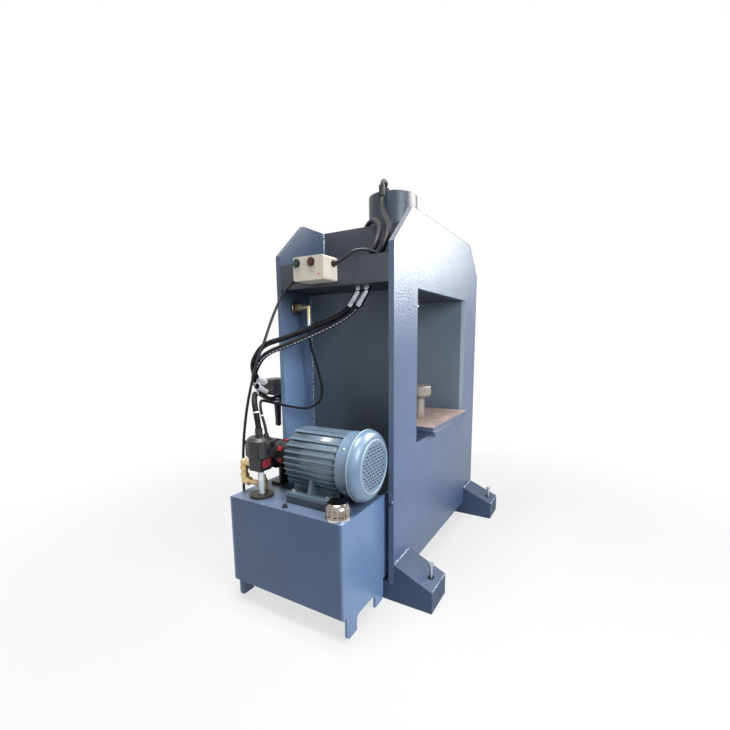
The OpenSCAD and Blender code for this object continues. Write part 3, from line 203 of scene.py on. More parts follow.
grain = bpy.data.node_groups.new("surface_grain", "ShaderNodeTree")
for socket_name, value in (("Cloud scale", 6.0), ("Speck scale", 400.0)):
    socket = grain.interface.new_socket(socket_name, in_out="INPUT", socket_type="NodeSocketFloat")
    socket.default_value = value
grain.interface.new_socket("Clouds", in_out="OUTPUT", socket_type="NodeSocketFloat")
grain.interface.new_socket("Specks", in_out="OUTPUT", socket_type="NodeSocketFloat")
grain_in = grain.nodes.new("NodeGroupInput")
grain_out = grain.nodes.new("NodeGroupOutput")
grain_place = grain.nodes.new("ShaderNodeTexCoord")
for scale_name, result, detail in (("Cloud scale", "Clouds", 5), ("Speck scale", "Specks", 2)):
    noise = grain.nodes.new("ShaderNodeTexNoise")
    noise.inputs["Detail"].default_value = detail
    stretch = grain.nodes.new("ShaderNodeMapRange")
    stretch.inputs["From Min"].default_value = NOISE_LOW
    stretch.inputs["From Max"].default_value = NOISE_HIGH
    grain.links.new(grain_place.outputs["Object"], noise.inputs["Vector"])
    grain.links.new(grain_in.outputs[scale_name], noise.inputs["Scale"])
    grain.links.new(noise.outputs["Fac"], stretch.inputs["Value"])
    grain.links.new(stretch.outputs["Result"], grain_out.inputs[result])


def add_grain(tree, clouds, specks):
    """The shared grain, placed in a material with its own scales, in waves per metre."""
    node = tree.nodes.new("ShaderNodeGroup")
    node.node_tree = grain
    node.inputs["Cloud scale"].default_value = clouds
    node.inputs["Speck scale"].default_value = specks
    return node


def blend_colours(tree, share, under, over):
    """A colour mix: under where share is 0, over where it is 1. Colours are codes or sockets."""
    mix = tree.nodes.new("ShaderNodeMix")
    mix.data_type = "RGBA"
    tree.links.new(share, mix.inputs[0])
    for value, socket in ((under, mix.inputs[6]), (over, mix.inputs[7])):
        if isinstance(value, str):
            socket.default_value = tint(value)
        else:
            tree.links.new(value, socket)
    return mix.outputs[2]


def blend_values(tree, share, low, high, start=0.0, end=1.0):
    """A value that goes from low to high as share goes from start to end."""
    ramp = tree.nodes.new("ShaderNodeMapRange")
    ramp.inputs["From Min"].default_value = start
    ramp.inputs["From Max"].default_value = end
    ramp.inputs["To Min"].default_value = low
    ramp.inputs["To Max"].default_value = high
    tree.links.new(share, ramp.inputs["Value"])
    return ramp.outputs["Result"]


def make_finish(name, light, dark, rough, clouds, specks, bump, metallic=0.0, specular=0.5,
                coat=0.0, stain=None, stain_from=0.0, stain_to=1.0, stain_scale=1.0):
    """A finish whose tone drifts between two colours, with fine bumps and patches of a stain."""
    material = bpy.data.materials.new(name)
    material.use_nodes = True
    tree = material.node_tree
    shader = tree.nodes["Principled BSDF"]
    shader.inputs["Metallic"].default_value = metallic
    shader.inputs["Specular IOR Level"].default_value = specular
    shader.inputs["Coat Weight"].default_value = coat
    shader.inputs["Coat Roughness"].default_value = COAT_ROUGH
    texture = add_grain(tree, clouds, specks)
    colour = blend_colours(tree, texture.outputs["Clouds"], light, dark)
    roughness = blend_values(tree, texture.outputs["Specks"], rough - ROUGH_DRIFT,
                             rough + ROUGH_DRIFT)
    if stain:
        patches = add_grain(tree, stain_scale, stain_scale * STAIN_FINER)
        patch = blend_values(tree, patches.outputs["Clouds"], 0, 1, stain_from, stain_to)
        colour = blend_colours(tree, patch, colour, stain)
        roughness_up = tree.nodes.new("ShaderNodeMath")
        roughness_up.operation = "MULTIPLY_ADD"
        roughness_up.inputs[1].default_value = STAIN_ROUGH
        tree.links.new(patch, roughness_up.inputs[0])
        tree.links.new(roughness, roughness_up.inputs[2])
        roughness = roughness_up.outputs["Value"]
        if metallic > 0:
            tree.links.new(blend_values(tree, patch, metallic, STAIN_METALLIC),
                           shader.inputs["Metallic"])
    bumps = tree.nodes.new("ShaderNodeBump")
    bumps.inputs["Strength"].default_value = bump
    bumps.inputs["Distance"].default_value = BUMP_M
    tree.links.new(texture.outputs["Specks"], bumps.inputs["Height"])
    tree.links.new(colour, shader.inputs["Base Color"])
    tree.links.new(roughness, shader.inputs["Roughness"])
    tree.links.new(bumps.outputs["Normal"], shader.inputs["Normal"])
    return material


def axis_share(material, source, axis, start, end):
    """A share from 0 to 1 as a finish's Normal or Object place, on one axis, goes start to end."""
    tree = material.node_tree
    node = tree.nodes.new("ShaderNodeNewGeometry" if source == "Normal" else "ShaderNodeTexCoord")
    axes = tree.nodes.new("ShaderNodeSeparateXYZ")
    tree.links.new(node.outputs[source], axes.inputs["Vector"])
    return blend_values(tree, axes.outputs[axis], 0, 1, start, end)


def overlay(material, share, colour):
    """Lays a colour over a finish: the finish shows where share is 0, the colour where it is 1."""
    tree = material.node_tree
    socket = tree.nodes["Principled BSDF"].inputs["Base Color"]
    tree.links.new(blend_colours(tree, share, socket.links[0].from_socket, colour), socket)


def shade(material, source, axis, start, end, colour):
    """Lays a colour over a finish by its share along one axis, and gives that share back."""
    share = axis_share(material, source, axis, start, end)
    overlay(material, share, colour)
    return share


def dress(material, *names):
    """Gives CAD nodes their finish."""
    for name in names:
        nodes[name].data.materials.clear()
        nodes[name].data.materials.append(material)


frame_paint = make_finish("frame_paint", PAINT_LIGHT, PAINT_DARK, rough=0.36, clouds=2.2,
                          specks=150, bump=1.0)
# Painted light: faces turned left, such as the window's right side, are painted paler.
shade(frame_paint, "Normal", "X", start=-0.5, end=-0.8, colour=LEFT_FACE_LIGHT)
# Painted shade: the front plate's outer left edge is painted darker.
shade(frame_paint, "Object", "X", start=LEFT_EDGE_IN_M, end=LEFT_EDGE_OUT_M,
      colour=LEFT_EDGE_SHADE)
# Painted shade: upward faces, such as the plate's top and sloping edges, are painted darker.
shade(frame_paint, "Normal", "Z", start=0.2, end=0.5, colour=TOP_EDGE_SHADE)
# Painted light: the rear plate's paint is a lighter copy of the frame's, standing in for light on
# its inner face. It turns darker towards the top.
rear_lit_paint = make_finish("rear_lit_paint", "#7690b3", "#6b84a6", rough=0.42, clouds=2.2, specks=420,
                         bump=0.32)
shade(rear_lit_paint, "Object", "Z", start=REAR_DARK_FROM_M, end=REAR_DARK_TO_M,
      colour=REAR_TOP_PAINT)
# Painted shade on the rear plate's upward faces, as on the frame's.
shade(rear_lit_paint, "Normal", "Z", start=0.2, end=0.5, colour=TOP_EDGE_SHADE)
# Painted light: a lighter, greyer copy of the paint for the side webs.
web_lit_paint = make_finish("web_lit_paint", "#727d8b", "#677280", rough=0.42, clouds=2.2, specks=420,
                        bump=0.32)
# Painted shade: a darker copy of the paint for the base rails and their feet.
rail_shade_paint = make_finish("rail_shade_paint", "#3c4d66", "#36455c", rough=0.6, clouds=4, specks=420,
                         bump=0.32, specular=0.25)
# Painted shade: a darker, greyer copy of the paint inside the crown, on its walls, seat and shelf.
crown_shade_paint = make_finish("crown_shade_paint", "#3d424b", "#363a42", rough=0.5, clouds=3, specks=420,
                          bump=0.3)
tank_paint = make_finish("tank_paint", "#496182", "#425878", rough=0.3, clouds=3, specks=500,
                         bump=0.12, specular=0.4)
# Painted light: the tank's upward faces get their own lighter tone.
shade(tank_paint, "Normal", "Z", start=0.3, end=0.6, colour=TANK_TOP_LIGHT)
# Painted light: a lighter copy of the tank's paint for its end plates and lip, which face the front
# lamp.
end_lit_paint = make_finish("end_lit_paint", "#6a86ab", "#6079a0", rough=0.3, clouds=3, specks=500,
                        bump=0.12)
# Painted shade: a darker copy of the paint for the cylinder's barrel and cap.
cylinder_shade_paint = make_finish("cylinder_shade_paint", "#3b424f", "#343a46", rough=0.34, clouds=4,
                             specks=350, bump=0.1, specular=0.3)
dress(frame_paint, "front_plate", "bed_plate", "bed_ribs")
dress(rear_lit_paint, "rear_plate")
dress(web_lit_paint, "side_webs")
dress(rail_shade_paint, "left_base_rail", "right_base_rail")
dress(crown_shade_paint, "crown_walls", "cylinder_seat", "hose_shelf")
dress(tank_paint, "oil_tank")
dress(end_lit_paint, "tank_ends")
dress(cylinder_shade_paint, "cylinder_barrel", "cylinder_cap")


# Weld beads: the fillets that join webs, crown walls, shelf and feet to the plates. They are
# weld metal, left bare or thinly painted, so they show as bright rippled lines.
RAM_X = 135
MERGE_M, SLIVER_M = 1e-6, 1e-7
OBLIQUE = (0.36, 0.48, 0.8)
BEAD_SIDES, FEWEST_RINGS, RINGS_PER_RIPPLE = 8, 12, 5
RIPPLE_SWELL, RANDOM_SWELL = 0.2, 0.22
PLATE_Y = 227.5
WEB_X, WEB_LOW, WEB_TOP = 320.5, 70, 1132
CROWN_X, CROWN_LOW, CROWN_TOP = 215.5, 1192, 1398
FOOT_LEFT, FOOT_RIGHT, FOOT_Y, FOOT_Z = (-497, 363), (-363, 497), 251.5, 144
TOE_LEFT, TOE_RIGHT, TOE_Y, TOE_Z = (-498, 362), (-362, 498), 396.4, 79
SHELF_LEFT, SHELF_RIGHT, SHELF_Z = (-497,), (-322,), 1147.5


def at(points):
    """Points in millimetres round the ram's axis, moved into the part's frame in metres."""
    return (np.asarray(points, float) + [RAM_X, 0, 0]) / 1000


def grid_faces(rows, columns):
    """Quads between neighbouring rows of a grid whose columns close into a ring."""
    row, column = np.meshgrid(np.arange(rows - 1), np.arange(columns), indexing="ij")
    after = (column + 1) % columns
    return np.stack([row * columns + column, row * columns + after, (row + 1) * columns + after,
                     (row + 1) * columns + column], axis=-1).reshape(-1, 4)


def copied_faces(rows, columns, count):
    """The faces of a count of equal grids, one after the other: each adds its own points."""
    starts = np.arange(count) * rows * columns
    return (grid_faces(rows, columns)[None] + starts[:, None, None]).reshape(-1, 4)


def unit_circles(axes, sides):
    """Circles square to unit axes: cosine times one side direction plus sine times the other."""
    across = np.cross(axes, OBLIQUE)
    across /= np.linalg.norm(across, axis=1, keepdims=True)
    along = np.cross(axes, across)
    angle = (np.arange(sides) * 2 * np.pi / sides)[None, :, None]
    return np.cos(angle) * across[:, None] + np.sin(angle) * along[:, None]


def add_piece(name, points, faces, material, smooth=True):
    """A mesh piece from arrays: doubles merged, faces turned outwards, riding on the frame."""
    mesh = bpy.data.meshes.new(name)
    mesh.from_pydata(points.reshape(-1, 3).tolist(), [], faces.tolist())
    work = bmesh.new()
    work.from_mesh(mesh)
    bmesh.ops.remove_doubles(work, verts=work.verts, dist=MERGE_M)
    bmesh.ops.dissolve_degenerate(work, edges=work.edges, dist=SLIVER_M)
    bmesh.ops.recalc_face_normals(work, faces=work.faces)
    work.to_mesh(mesh)
    work.free()
    mesh.polygons.foreach_set("use_smooth", np.full(len(mesh.polygons), smooth))
    mesh.materials.append(material)
    piece = bpy.data.objects.new(name, mesh)
    scene.collection.objects.link(piece)
    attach(piece, "frame")
    return piece


def beads(name, starts, ends, thick_mm, ripple_mm, seed, material):
    """Beads along lines: rings whose radius swells with each ripple and closes at the ends."""
    starts, ends = at(starts), at(ends)
    length = np.linalg.norm(ends[0] - starts[0])
    steps = max(FEWEST_RINGS, int(length * 1000 / ripple_mm * RINGS_PER_RIPPLE))
    chance = np.random.default_rng(seed)
    share = np.linspace(0, 1, steps)
    swell = 1 + RIPPLE_SWELL * np.sin(share * length * 1000 / ripple_mm * 2 * np.pi)
    swell = swell[None, :] + RANDOM_SWELL * (chance.random((len(starts), steps)) - 0.5)
    closing = np.clip(np.minimum(share, 1 - share) * length * 1000 / thick_mm, 0, 1)
    radius = thick_mm / 1000 * swell * np.sqrt(closing)
    heading = (ends - starts) / np.linalg.norm(ends - starts, axis=1, keepdims=True)
    line = starts[:, None] + share[None, :, None] * (ends - starts)[:, None]
    circle = unit_circles(heading, BEAD_SIDES)
    points = line[:, :, None] + radius[:, :, None, None] * circle[:, None]
    faces = copied_faces(steps, BEAD_SIDES, len(starts))
    return add_piece(name, points, faces, material)


def both_sides(xs, y, z):
    """Points at each x and at height z, before and behind the press's middle at y from it."""
    return [(x, side * y, z) for x in xs for side in (-1, 1)]


bare_weld = make_finish("bare_weld", "#d3d8e0", "#9aa6b8", rough=0.4, clouds=160, specks=900,
                        bump=0.4, stain="#5f7290", stain_from=0.45, stain_to=0.62,
                        stain_scale=110)
painted_weld = make_finish("painted_weld", PAINT_LIGHT, PAINT_DARK, rough=0.45, clouds=60,
                           specks=700, bump=0.3, stain="#8194b4", stain_from=0.6, stain_to=0.8,
                           stain_scale=50)
web_seams = [(s * WEB_X, t * PLATE_Y) for t in (1, -1) for s in (-1, 1)]
beads("web_welds", [(x, y, WEB_LOW) for x, y in web_seams],
      [(x, y, WEB_TOP) for x, y in web_seams],
      thick_mm=4.2, ripple_mm=7, seed=3, material=bare_weld)
beads("crown_welds", both_sides((-CROWN_X, CROWN_X), PLATE_Y, CROWN_LOW),
      both_sides((-CROWN_X, CROWN_X), PLATE_Y, CROWN_TOP),
      thick_mm=4.2, ripple_mm=7, seed=4, material=bare_weld)
beads("foot_welds", both_sides(FOOT_LEFT, FOOT_Y, FOOT_Z),
      both_sides(FOOT_RIGHT, FOOT_Y, FOOT_Z),
      thick_mm=3.2, ripple_mm=6, seed=5, material=bare_weld)
beads("foot_edges", both_sides(TOE_LEFT, TOE_Y, TOE_Z), both_sides(TOE_RIGHT, TOE_Y, TOE_Z),
      thick_mm=1.5, ripple_mm=9, seed=7, material=bare_weld)
beads("shelf_welds", both_sides(SHELF_LEFT, PLATE_Y, SHELF_Z),
      both_sides(SHELF_RIGHT, PLATE_Y, SHELF_Z),
      thick_mm=3.6, ripple_mm=7, seed=6, material=painted_weld)


# Plate's shaded edge: the front plate's top edge and its slope at the right are flame-cut steel.
# A thin dark line along them is painted shade, where the edge turns away from the light.
EDGE_Y, TOP_HALF, TOP_Z = -250, 349, 1399.6
SLOPE_TOP, SLOPE_FOOT = (351, EDGE_Y, 1399), (499, EDGE_Y, 1261)
edge_shade_line = make_finish("edge_shade_line", "#66686d", "#4c4f55", rough=0.6, clouds=30, specks=500,
                        bump=0.1, specular=0.2)
beads("plate_edges", [(-TOP_HALF, EDGE_Y, TOP_Z), SLOPE_TOP],
      [(TOP_HALF, EDGE_Y, TOP_Z), SLOPE_FOOT],
      thick_mm=0.9, ripple_mm=40, seed=8, material=edge_shade_line)


# Base rails: welded boxes with sloping feet. Zinc-plated steel bolts stand in slots in the feet
# to level the press, and the motor's bolts and the rod gland have the same plating.
zinc = make_finish("zinc_plate", "#c9ccd2", "#a2a7b0", rough=0.3, clouds=40, specks=600,
                   bump=0.08, metallic=0.9)
dress(zinc, "levelling_bolts", "motor_bolts", "rod_gland", "gland_bolts")


# Tank's lip: the strip by which the tank's front end plate reaches behind the frame's front
# plate. It is sheet steel in the end plate's paint, and closes the slit between tank and frame.
CORNER_POINTS = 6


def flat_plate(name, width_mm, height_mm, corner_mm, thick_mm, place, across, up, material):
    """A flat plate with round corners: its outline, set at both faces and closed between them."""
    angle = np.linspace(0, np.pi / 2, CORNER_POINTS)
    quarter = corner_mm * np.column_stack([np.cos(angle), np.sin(angle)])
    swing = np.array([[[1, 0], [0, 1]], [[0, -1], [1, 0]], [[-1, 0], [0, -1]], [[0, 1], [-1, 0]]])
    half = np.array([width_mm / 2 - corner_mm, height_mm / 2 - corner_mm])
    middle = np.array([[1, 1], [-1, 1], [-1, -1], [1, -1]]) * half
    outline = (middle[:, None] + np.einsum("kij,nj->kni", swing, quarter)).reshape(-1, 2) / 1000
    across, up = np.array(across, float), np.array(up, float)
    face = np.asarray(place) + outline[:, :1] * across + outline[:, 1:] * up
    out = np.cross(across, up) * thick_mm / 1000
    rows = np.stack([np.broadcast_to(face.mean(0), face.shape), face, face + out,
                     np.broadcast_to(face.mean(0) + out, face.shape)])
    return add_piece(name, rows, grid_faces(4, len(face)), material, smooth=False)


# The lip's paint is the tank ends' lighter copy, painted light.
flat_plate("tank_lip", width_mm=24, height_mm=316, corner_mm=1, thick_mm=8,
           place=at((-465, -202, 239.5)), across=(1, 0, 0), up=(0, 0, 1),
           material=end_lit_paint)


# Bolster plates and tool: flame-cut steel plates, rusted brown on top and bluish at the sides,
# and a turned steel tool with a round head. They only stand on the bed, one on the other. The
# piston and the drive shafts are of the tool's steel.
rust_plate = make_finish("rusted_plate", "#b5a099", "#99837b", rough=0.5, clouds=18, specks=300,
                         bump=0.35, metallic=0.25, stain="#b09a92", stain_from=0.55, stain_to=0.8,
                         stain_scale=30)
shade(rust_plate, "Normal", "Z", start=0.7, end=0.3, colour="#5a6a84")
tool_steel = make_finish("tool_steel", "#9c938c", "#857b74", rough=0.5, clouds=22, specks=500,
                         bump=0.2, metallic=0.35, stain="#84705f", stain_from=0.6, stain_to=0.95,
                         stain_scale=40)
dress(rust_plate, "bolster_plates")
dress(tool_steel, "press_tool", "piston", "drive_shafts")


# Ram: a ground steel bar, hard chromed, with a socket for the tool in its end. It slides in the
# gland under the cylinder.
chrome = make_finish("hard_chrome", "#d8dbe0", "#c2c6cd", rough=0.14, clouds=30, specks=800,
                     bump=0.03, metallic=1.0)
dress(chrome, "ram")


# Filler: a pressed steel cap with a scalloped grip, turned onto its neck on the tank's top. Both
# are chromed and a little tarnished. The cap's flat top is painted dark, a painted reflection of
# the dark surroundings in its chrome.
cap_chrome = make_finish("tarnished_chrome", "#d9d6d2", "#b4aca4", rough=0.2, clouds=50,
                         specks=700, bump=0.06, metallic=1.0, stain="#a08c7e", stain_from=0.85,
                         stain_to=1.1, stain_scale=45)
cap_metal = make_finish("cap_metal", "#aaa39d", "#80776f", rough=0.16, clouds=50, specks=700,
                        bump=0.06, metallic=1.0)
# Painted reflection: the cap's upward faces are painted dark.
shade(cap_metal, "Normal", "Z", start=0.75, end=0.95, colour="#4a423d")
dress(cap_chrome, "filler_neck")
dress(cap_metal, "filler_cap")


# Black castings: valve head, gear pump, coupling hubs, hand valve and the tank's plug, cast iron
# painted black and a little oily. The valve's lever, the motor's fan, the cable's plug and the
# cable glands are black moulded plastic.
black_iron = make_finish("black_casting", "#2c2b2e", "#1b1a1d", rough=0.4, clouds=30, specks=300,
                         bump=0.3, stain="#3d332e", stain_from=0.65, stain_to=0.9, stain_scale=30)
black_plastic = make_finish("black_plastic", "#1f1f22", "#17171a", rough=0.45, clouds=40,
                            specks=700, bump=0.08)
dress(black_iron, "valve_head", "gear_pump", "pump_bracket", "coupling_hubs", "hand_valve",
      "tank_plug")
dress(black_plastic, "cooling_fan", "hand_lever", "supply_plug", "cable_glands")


# Plate's bolt: a black steel bolt screwed into the front plate's left edge, just below the
# tank's top, with a small tack weld above it.
def turned(name, profile_mm, places, axes, material, sides=24, smooth=True):
    """Turned pieces: a profile of (radius, height) in millimetres carried round each axis."""
    places = np.atleast_2d(np.asarray(places, float))
    axes = np.broadcast_to(np.atleast_2d(np.asarray(axes, float)), places.shape)
    axes = axes / np.linalg.norm(axes, axis=1, keepdims=True)
    profile = np.asarray(profile_mm, float) / 1000
    points = (places[:, None, None] + profile[None, :, 1, None, None] * axes[:, None, None]
              + profile[None, :, 0, None, None] * unit_circles(axes, sides)[:, None])
    faces = copied_faces(len(profile), sides, len(places))
    return add_piece(name, points, faces, material, smooth)


BOLT, TACK = (-500, -236, 370), (-500, -245, 379)
bolt_head = [(0, 2.6), (3.8, 2.6), (5.6, 1.8), (6, 0), (6, -1), (0, -1)]
tack_blob = [(0, 2.2), (2.2, 1.6), (3.2, 0), (3, -1), (0, -1)]
turned("edge_bolt", bolt_head, at(BOLT), (-1, 0, 0), black_iron, sides=16)
turned("edge_tack", tack_blob, at(TACK), (-1, 0, 0), bare_weld, sides=12)


# Suction pipe: a bright zinc-plated steel pipe from the tank up to the valve head. It stands on
# a black flange with a gasket, on the tank's top.
PIPE_METALLIC = 0.25
FLANGE_TOP_M, FLANGE_SEAM_M = 0.4078, 0.4072
pipe_zinc = make_finish("pipe_zinc", "#dfe4e6", "#cbd1d4", rough=0.4, clouds=40, specks=700,
                        bump=0.08, metallic=PIPE_METALLIC)
on_flange = shade(pipe_zinc, "Object", "Z", start=FLANGE_TOP_M, end=FLANGE_SEAM_M,
                  colour="#29231f")
pipe_tree = pipe_zinc.node_tree
pipe_tree.links.new(blend_values(pipe_tree, on_flange, PIPE_METALLIC, 0.0),
                    pipe_tree.nodes["Principled BSDF"].inputs["Metallic"])
dress(pipe_zinc, "suction_pipe")


# Brass: the bypass elbows screwed into the valve head, and the gauge's elbow, turned from brass
# and left plain. The gauge's elbow ends in a crimped zinc ferrule for its hose.
FERRULE_TOP_M, FERRULE_SEAM_M = 1.0305, 1.0295
brass = make_finish("plain_brass", "#e0cb9a", "#c2a874", rough=0.32, clouds=45, specks=700,
                    bump=0.06, metallic=0.7)
fitting_brass = make_finish("fitting_brass", "#e2d7b4", "#c6b88e", rough=0.28, clouds=45,
                            specks=700, bump=0.06, metallic=0.75)
shade(fitting_brass, "Object", "Z", start=FERRULE_TOP_M, end=FERRULE_SEAM_M, colour="#dfe2e6")
dress(brass, "brass_pipework")
dress(fitting_brass, "gauge_fitting")


# Motor: cast frame, end shield and terminal box in blue-grey gloss paint, bolted to its rails.
# The fan cover is spun sheet, with a rolled rim, a pressed bead and pan-head screws round its
# band, and the ground between the cast fins is raised.
MOTOR_X, MOTOR_Z = -600, 535
BAND_Y, BAND_R = -165, 110
BEAD_Y, RIM_Y, FINS_Y = -194, -228, -38
SCREWS_DEG = (40, 140, 220, 320)
motor_paint = make_finish("motor_paint", "#5f7180", "#556675", rough=0.34, clouds=8, specks=420,
                          bump=0.12, coat=0.25)
cover_paint = make_finish("cover_paint", "#6c8399", "#61788e", rough=0.32, clouds=8, specks=420,
                          bump=0.12, coat=0.25)
# Painted highlight: a lighter copy of the cover's paint on its rolled rim and pressed bead.
rim_highlight_paint = make_finish("rim_highlight_paint", "#91a5b2", "#8599a6", rough=0.36, clouds=8,
                            specks=420, bump=0.12)
# Painted shade: a dark copy of the motor's paint for its rails and skirts, the shaded strip under
# the motor.
motor_rail_shade = make_finish("motor_rail_shade", "#3f4b57", "#37424d", rough=0.45, clouds=8, specks=420,
                          bump=0.12)
dress(motor_paint, "motor_frame", "drive_shield", "terminal_box")
dress(cover_paint, "fan_cover")
dress(motor_rail_shade, "motor_rails")
rolled_rim = [(84, -0.6), (85.5, 2.2), (88, 2.9), (91, 1.9), (92.5, 0), (91, -1.4), (84, -0.6)]
pressed_bead = [(118, -2.6), (120.6, -1.6), (121.3, 0.4), (120.2, 2.6), (118, 2.6), (118, -2.6)]
raised_ground = [(86, -104), (103, -104), (103, 102), (86, 102), (86, -104)]
pan_head = [(0, 2.6), (2.4, 2.5), (4.2, 1.6), (5, 0), (0, -1)]
screw_angle = np.radians(SCREWS_DEG)
screw_axes = np.column_stack([np.cos(screw_angle), 0 * screw_angle, np.sin(screw_angle)])
screw_places = at(np.array([MOTOR_X, BAND_Y, MOTOR_Z]) + BAND_R * screw_axes)
turned("cover_rim", rolled_rim, at((MOTOR_X, RIM_Y, MOTOR_Z)), (0, -1, 0), rim_highlight_paint,
       sides=64)
turned("cover_bead", pressed_bead, at((MOTOR_X, BEAD_Y, MOTOR_Z)), (0, -1, 0), rim_highlight_paint,
       sides=96)
turned("fin_roots", raised_ground, at((MOTOR_X, FINS_Y, MOTOR_Z)), (0, 1, 0), motor_paint,
       sides=64)
turned("cover_screws", pan_head, screw_places, screw_axes, zinc, sides=16)


# Rail skirts: thin steel plates, welded along the motor's rails between the bolts. They close
# the space under the motor's feet and share the rails' dark colour, which is painted shade.
for skirt, skirt_x, skirt_across in (("left_skirt", -711, (0, -1, 0)),
                                     ("right_skirt", -489, (0, 1, 0))):
    flat_plate(skirt, width_mm=100, height_mm=24.4, corner_mm=0.5, thick_mm=4,
               place=at((skirt_x, FINS_Y, 410.6)), across=skirt_across, up=(0, 0, 1),
               material=motor_rail_shade)


# Coupling spider: a red star of cast polyurethane, held between the claws of the two hubs on the
# motor's and the pump's shafts.
red_rubber = make_finish("spider_red", "#c03436", "#a4282b", rough=0.42, clouds=50, specks=500,
                         bump=0.1)
dress(red_rubber, "coupling_spider")


# Valve head's plate: a thin plate of red-painted sheet steel with round corners, stuck flat to
# the front of the block and left bare.
plate_red = make_finish("plate_red", "#9c333a", "#7d2930", rough=0.35, clouds=40, specks=500,
                        bump=0.05, stain="#6e3034", stain_from=0.7, stain_to=1.0, stain_scale=40)
flat_plate("head_plate", width_mm=40, height_mm=28, corner_mm=3, thick_mm=0.8,
           place=at((-706, 145, 521)), across=(1, 0, 0), up=(0, 0, 1),
           material=plate_red)


# Gauge: a case pressed from steel, which holds a white printed disc behind a red needle. The disc
# has black ticks over three quarters of its circle, and a bright zinc ring closes the case's back.
GAUGE = np.array([-417, 255.05, 1075])
GAUGE_BACK = (-417, 222, 1075)
TICKS, TICKS_PER_LONG = 28, 3
TICK_FROM_DEG, TICK_TO_DEG = 225, -45
TICK_OUTER, LONG_INNER, SHORT_INNER = 28.5, 21.5, 25
LONG_HALF, SHORT_HALF = 0.7, 0.35
TICK_LIFT = 0.36
gauge_steel = make_finish("gauge_steel", "#6f6a64", "#57524d", rough=0.3, clouds=40, specks=700,
                          bump=0.05, metallic=0.85)
dial_white = make_finish("dial_white", "#eeeeea", "#e2e2dd", rough=0.5, clouds=30, specks=900,
                         bump=0.02)
tick_black = make_finish("tick_black", "#1d1d1f", "#151517", rough=0.5, clouds=30, specks=900,
                         bump=0.02)
needle_red = make_finish("needle_red", "#c8342c", "#b02a24", rough=0.4, clouds=50, specks=900,
                         bump=0.02)
ferrule_zinc = make_finish("ferrule_zinc", "#bcc0c6", "#92979f", rough=0.2, clouds=60, specks=700,
                           bump=0.02, metallic=1.0)
dress(gauge_steel, "gauge_case")
dress(needle_red, "gauge_needle")
dial_ring = [(3.7, 0), (30.2, 0), (30.2, 0.3), (3.7, 0.3), (3.7, 0)]
back_ring = [(27.5, 0), (31.3, 0), (31.3, 1), (29.4, 1.7), (27.5, 1), (27.5, 0)]
turned("gauge_dial", dial_ring, at(GAUGE), (0, 1, 0), dial_white, sides=48,
       smooth=False)
turned("gauge_rim", back_ring, at(GAUGE_BACK), (0, -1, 0), ferrule_zinc, sides=48)
tick_turn = np.radians(np.linspace(TICK_FROM_DEG, TICK_TO_DEG, TICKS))
tick_out = np.column_stack([-np.cos(tick_turn), np.zeros(TICKS), np.sin(tick_turn)])
tick_side = np.column_stack([np.sin(tick_turn), np.zeros(TICKS), np.cos(tick_turn)])
tick_long = (np.arange(TICKS) % TICKS_PER_LONG == 0)[:, None]
tick_root = np.where(tick_long, LONG_INNER, SHORT_INNER) * tick_out
tick_tip = TICK_OUTER * tick_out
tick_half = np.where(tick_long, LONG_HALF, SHORT_HALF) * tick_side
tick_corners = np.stack([tick_root - tick_half, tick_tip - tick_half, tick_tip + tick_half,
                         tick_root + tick_half], axis=1)
add_piece("gauge_ticks", at(GAUGE + [0, TICK_LIFT, 0] + tick_corners),
          np.arange(4 * TICKS).reshape(-1, 4), tick_black, smooth=False)


# Control box: ivory plastic, moulded in two halves and screwed to the apron, with a green and a
# red push button in black collars and a small red lamp.
LID_X, BUTTON_Z = -582, 1208
START_Y, STOP_Y = 82, 20
LAMP_Y, LAMP_Z = -10, 1167
ivory = make_finish("ivory_plastic", "#d2cbbd", "#c8c0b1", rough=0.42, clouds=12, specks=700,
                    bump=0.06, stain="#c9c0b1", stain_from=0.8, stain_to=1.1, stain_scale=18)
button_green = make_finish("button_green", "#113626", "#0d2b1f", rough=0.3, clouds=60, specks=700,
                           bump=0.03)
button_red = make_finish("button_red", "#4b1310", "#3e0f0c", rough=0.3, clouds=60, specks=700,
                         bump=0.03)
dress(ivory, "control_box", "control_lid")
dress(button_green, "start_button")
dress(button_red, "stop_button")
collar = [(11.5, 0), (15, 0), (15, 2.4), (14, 3.4), (12.4, 3.4), (11.5, 2.6), (11.5, 0)]
lamp_dome = [(0, 1.6), (1.8, 1.4), (2.8, 0.6), (3, 0), (0, 0)]
turned("button_collars", collar, at([(LID_X, START_Y, BUTTON_Z), (LID_X, STOP_Y, BUTTON_Z)]),
       (-1, 0, 0), black_plastic, sides=32)
turned("run_lamp", lamp_dome, at((LID_X, LAMP_Y, LAMP_Z)), (-1, 0, 0), needle_red,
       sides=16)


# Hoses and cables: black rubber hydraulic hoses between shelf, valve, cylinder and pump, a thin
# hose to the gauge, the motor's lead, and the supply cable whose spare length lies in a coil.
# They hang free between their ends.
HOSE_MM, GAUGE_HOSE_MM, CABLE_MM = 20, 10, 10
RUBBER_LIGHT, RUBBER_DARK = "#1f1f23", "#111114"
SPAN_STEPS, CORD_ROUNDING = 4, 4


def smooth_line(points):
    """A line through the points: a cubic on each span, sloped at a point as its neighbours lie."""
    p = np.vstack([2 * points[0] - points[1], points, 2 * points[-1] - points[-2]])
    a, b, c, d = (q[:, None, :] for q in (p[:-3], p[1:-2], p[2:-1], p[3:]))
    t = (np.arange(SPAN_STEPS) / SPAN_STEPS)[None, :, None]
    line = b + 0.5 * t * (c - a + t * (2 * a - 5 * b + 4 * c - d + t * (3 * (b - c) + d - a)))
    return np.vstack([line.reshape(-1, 3), points[-1]])


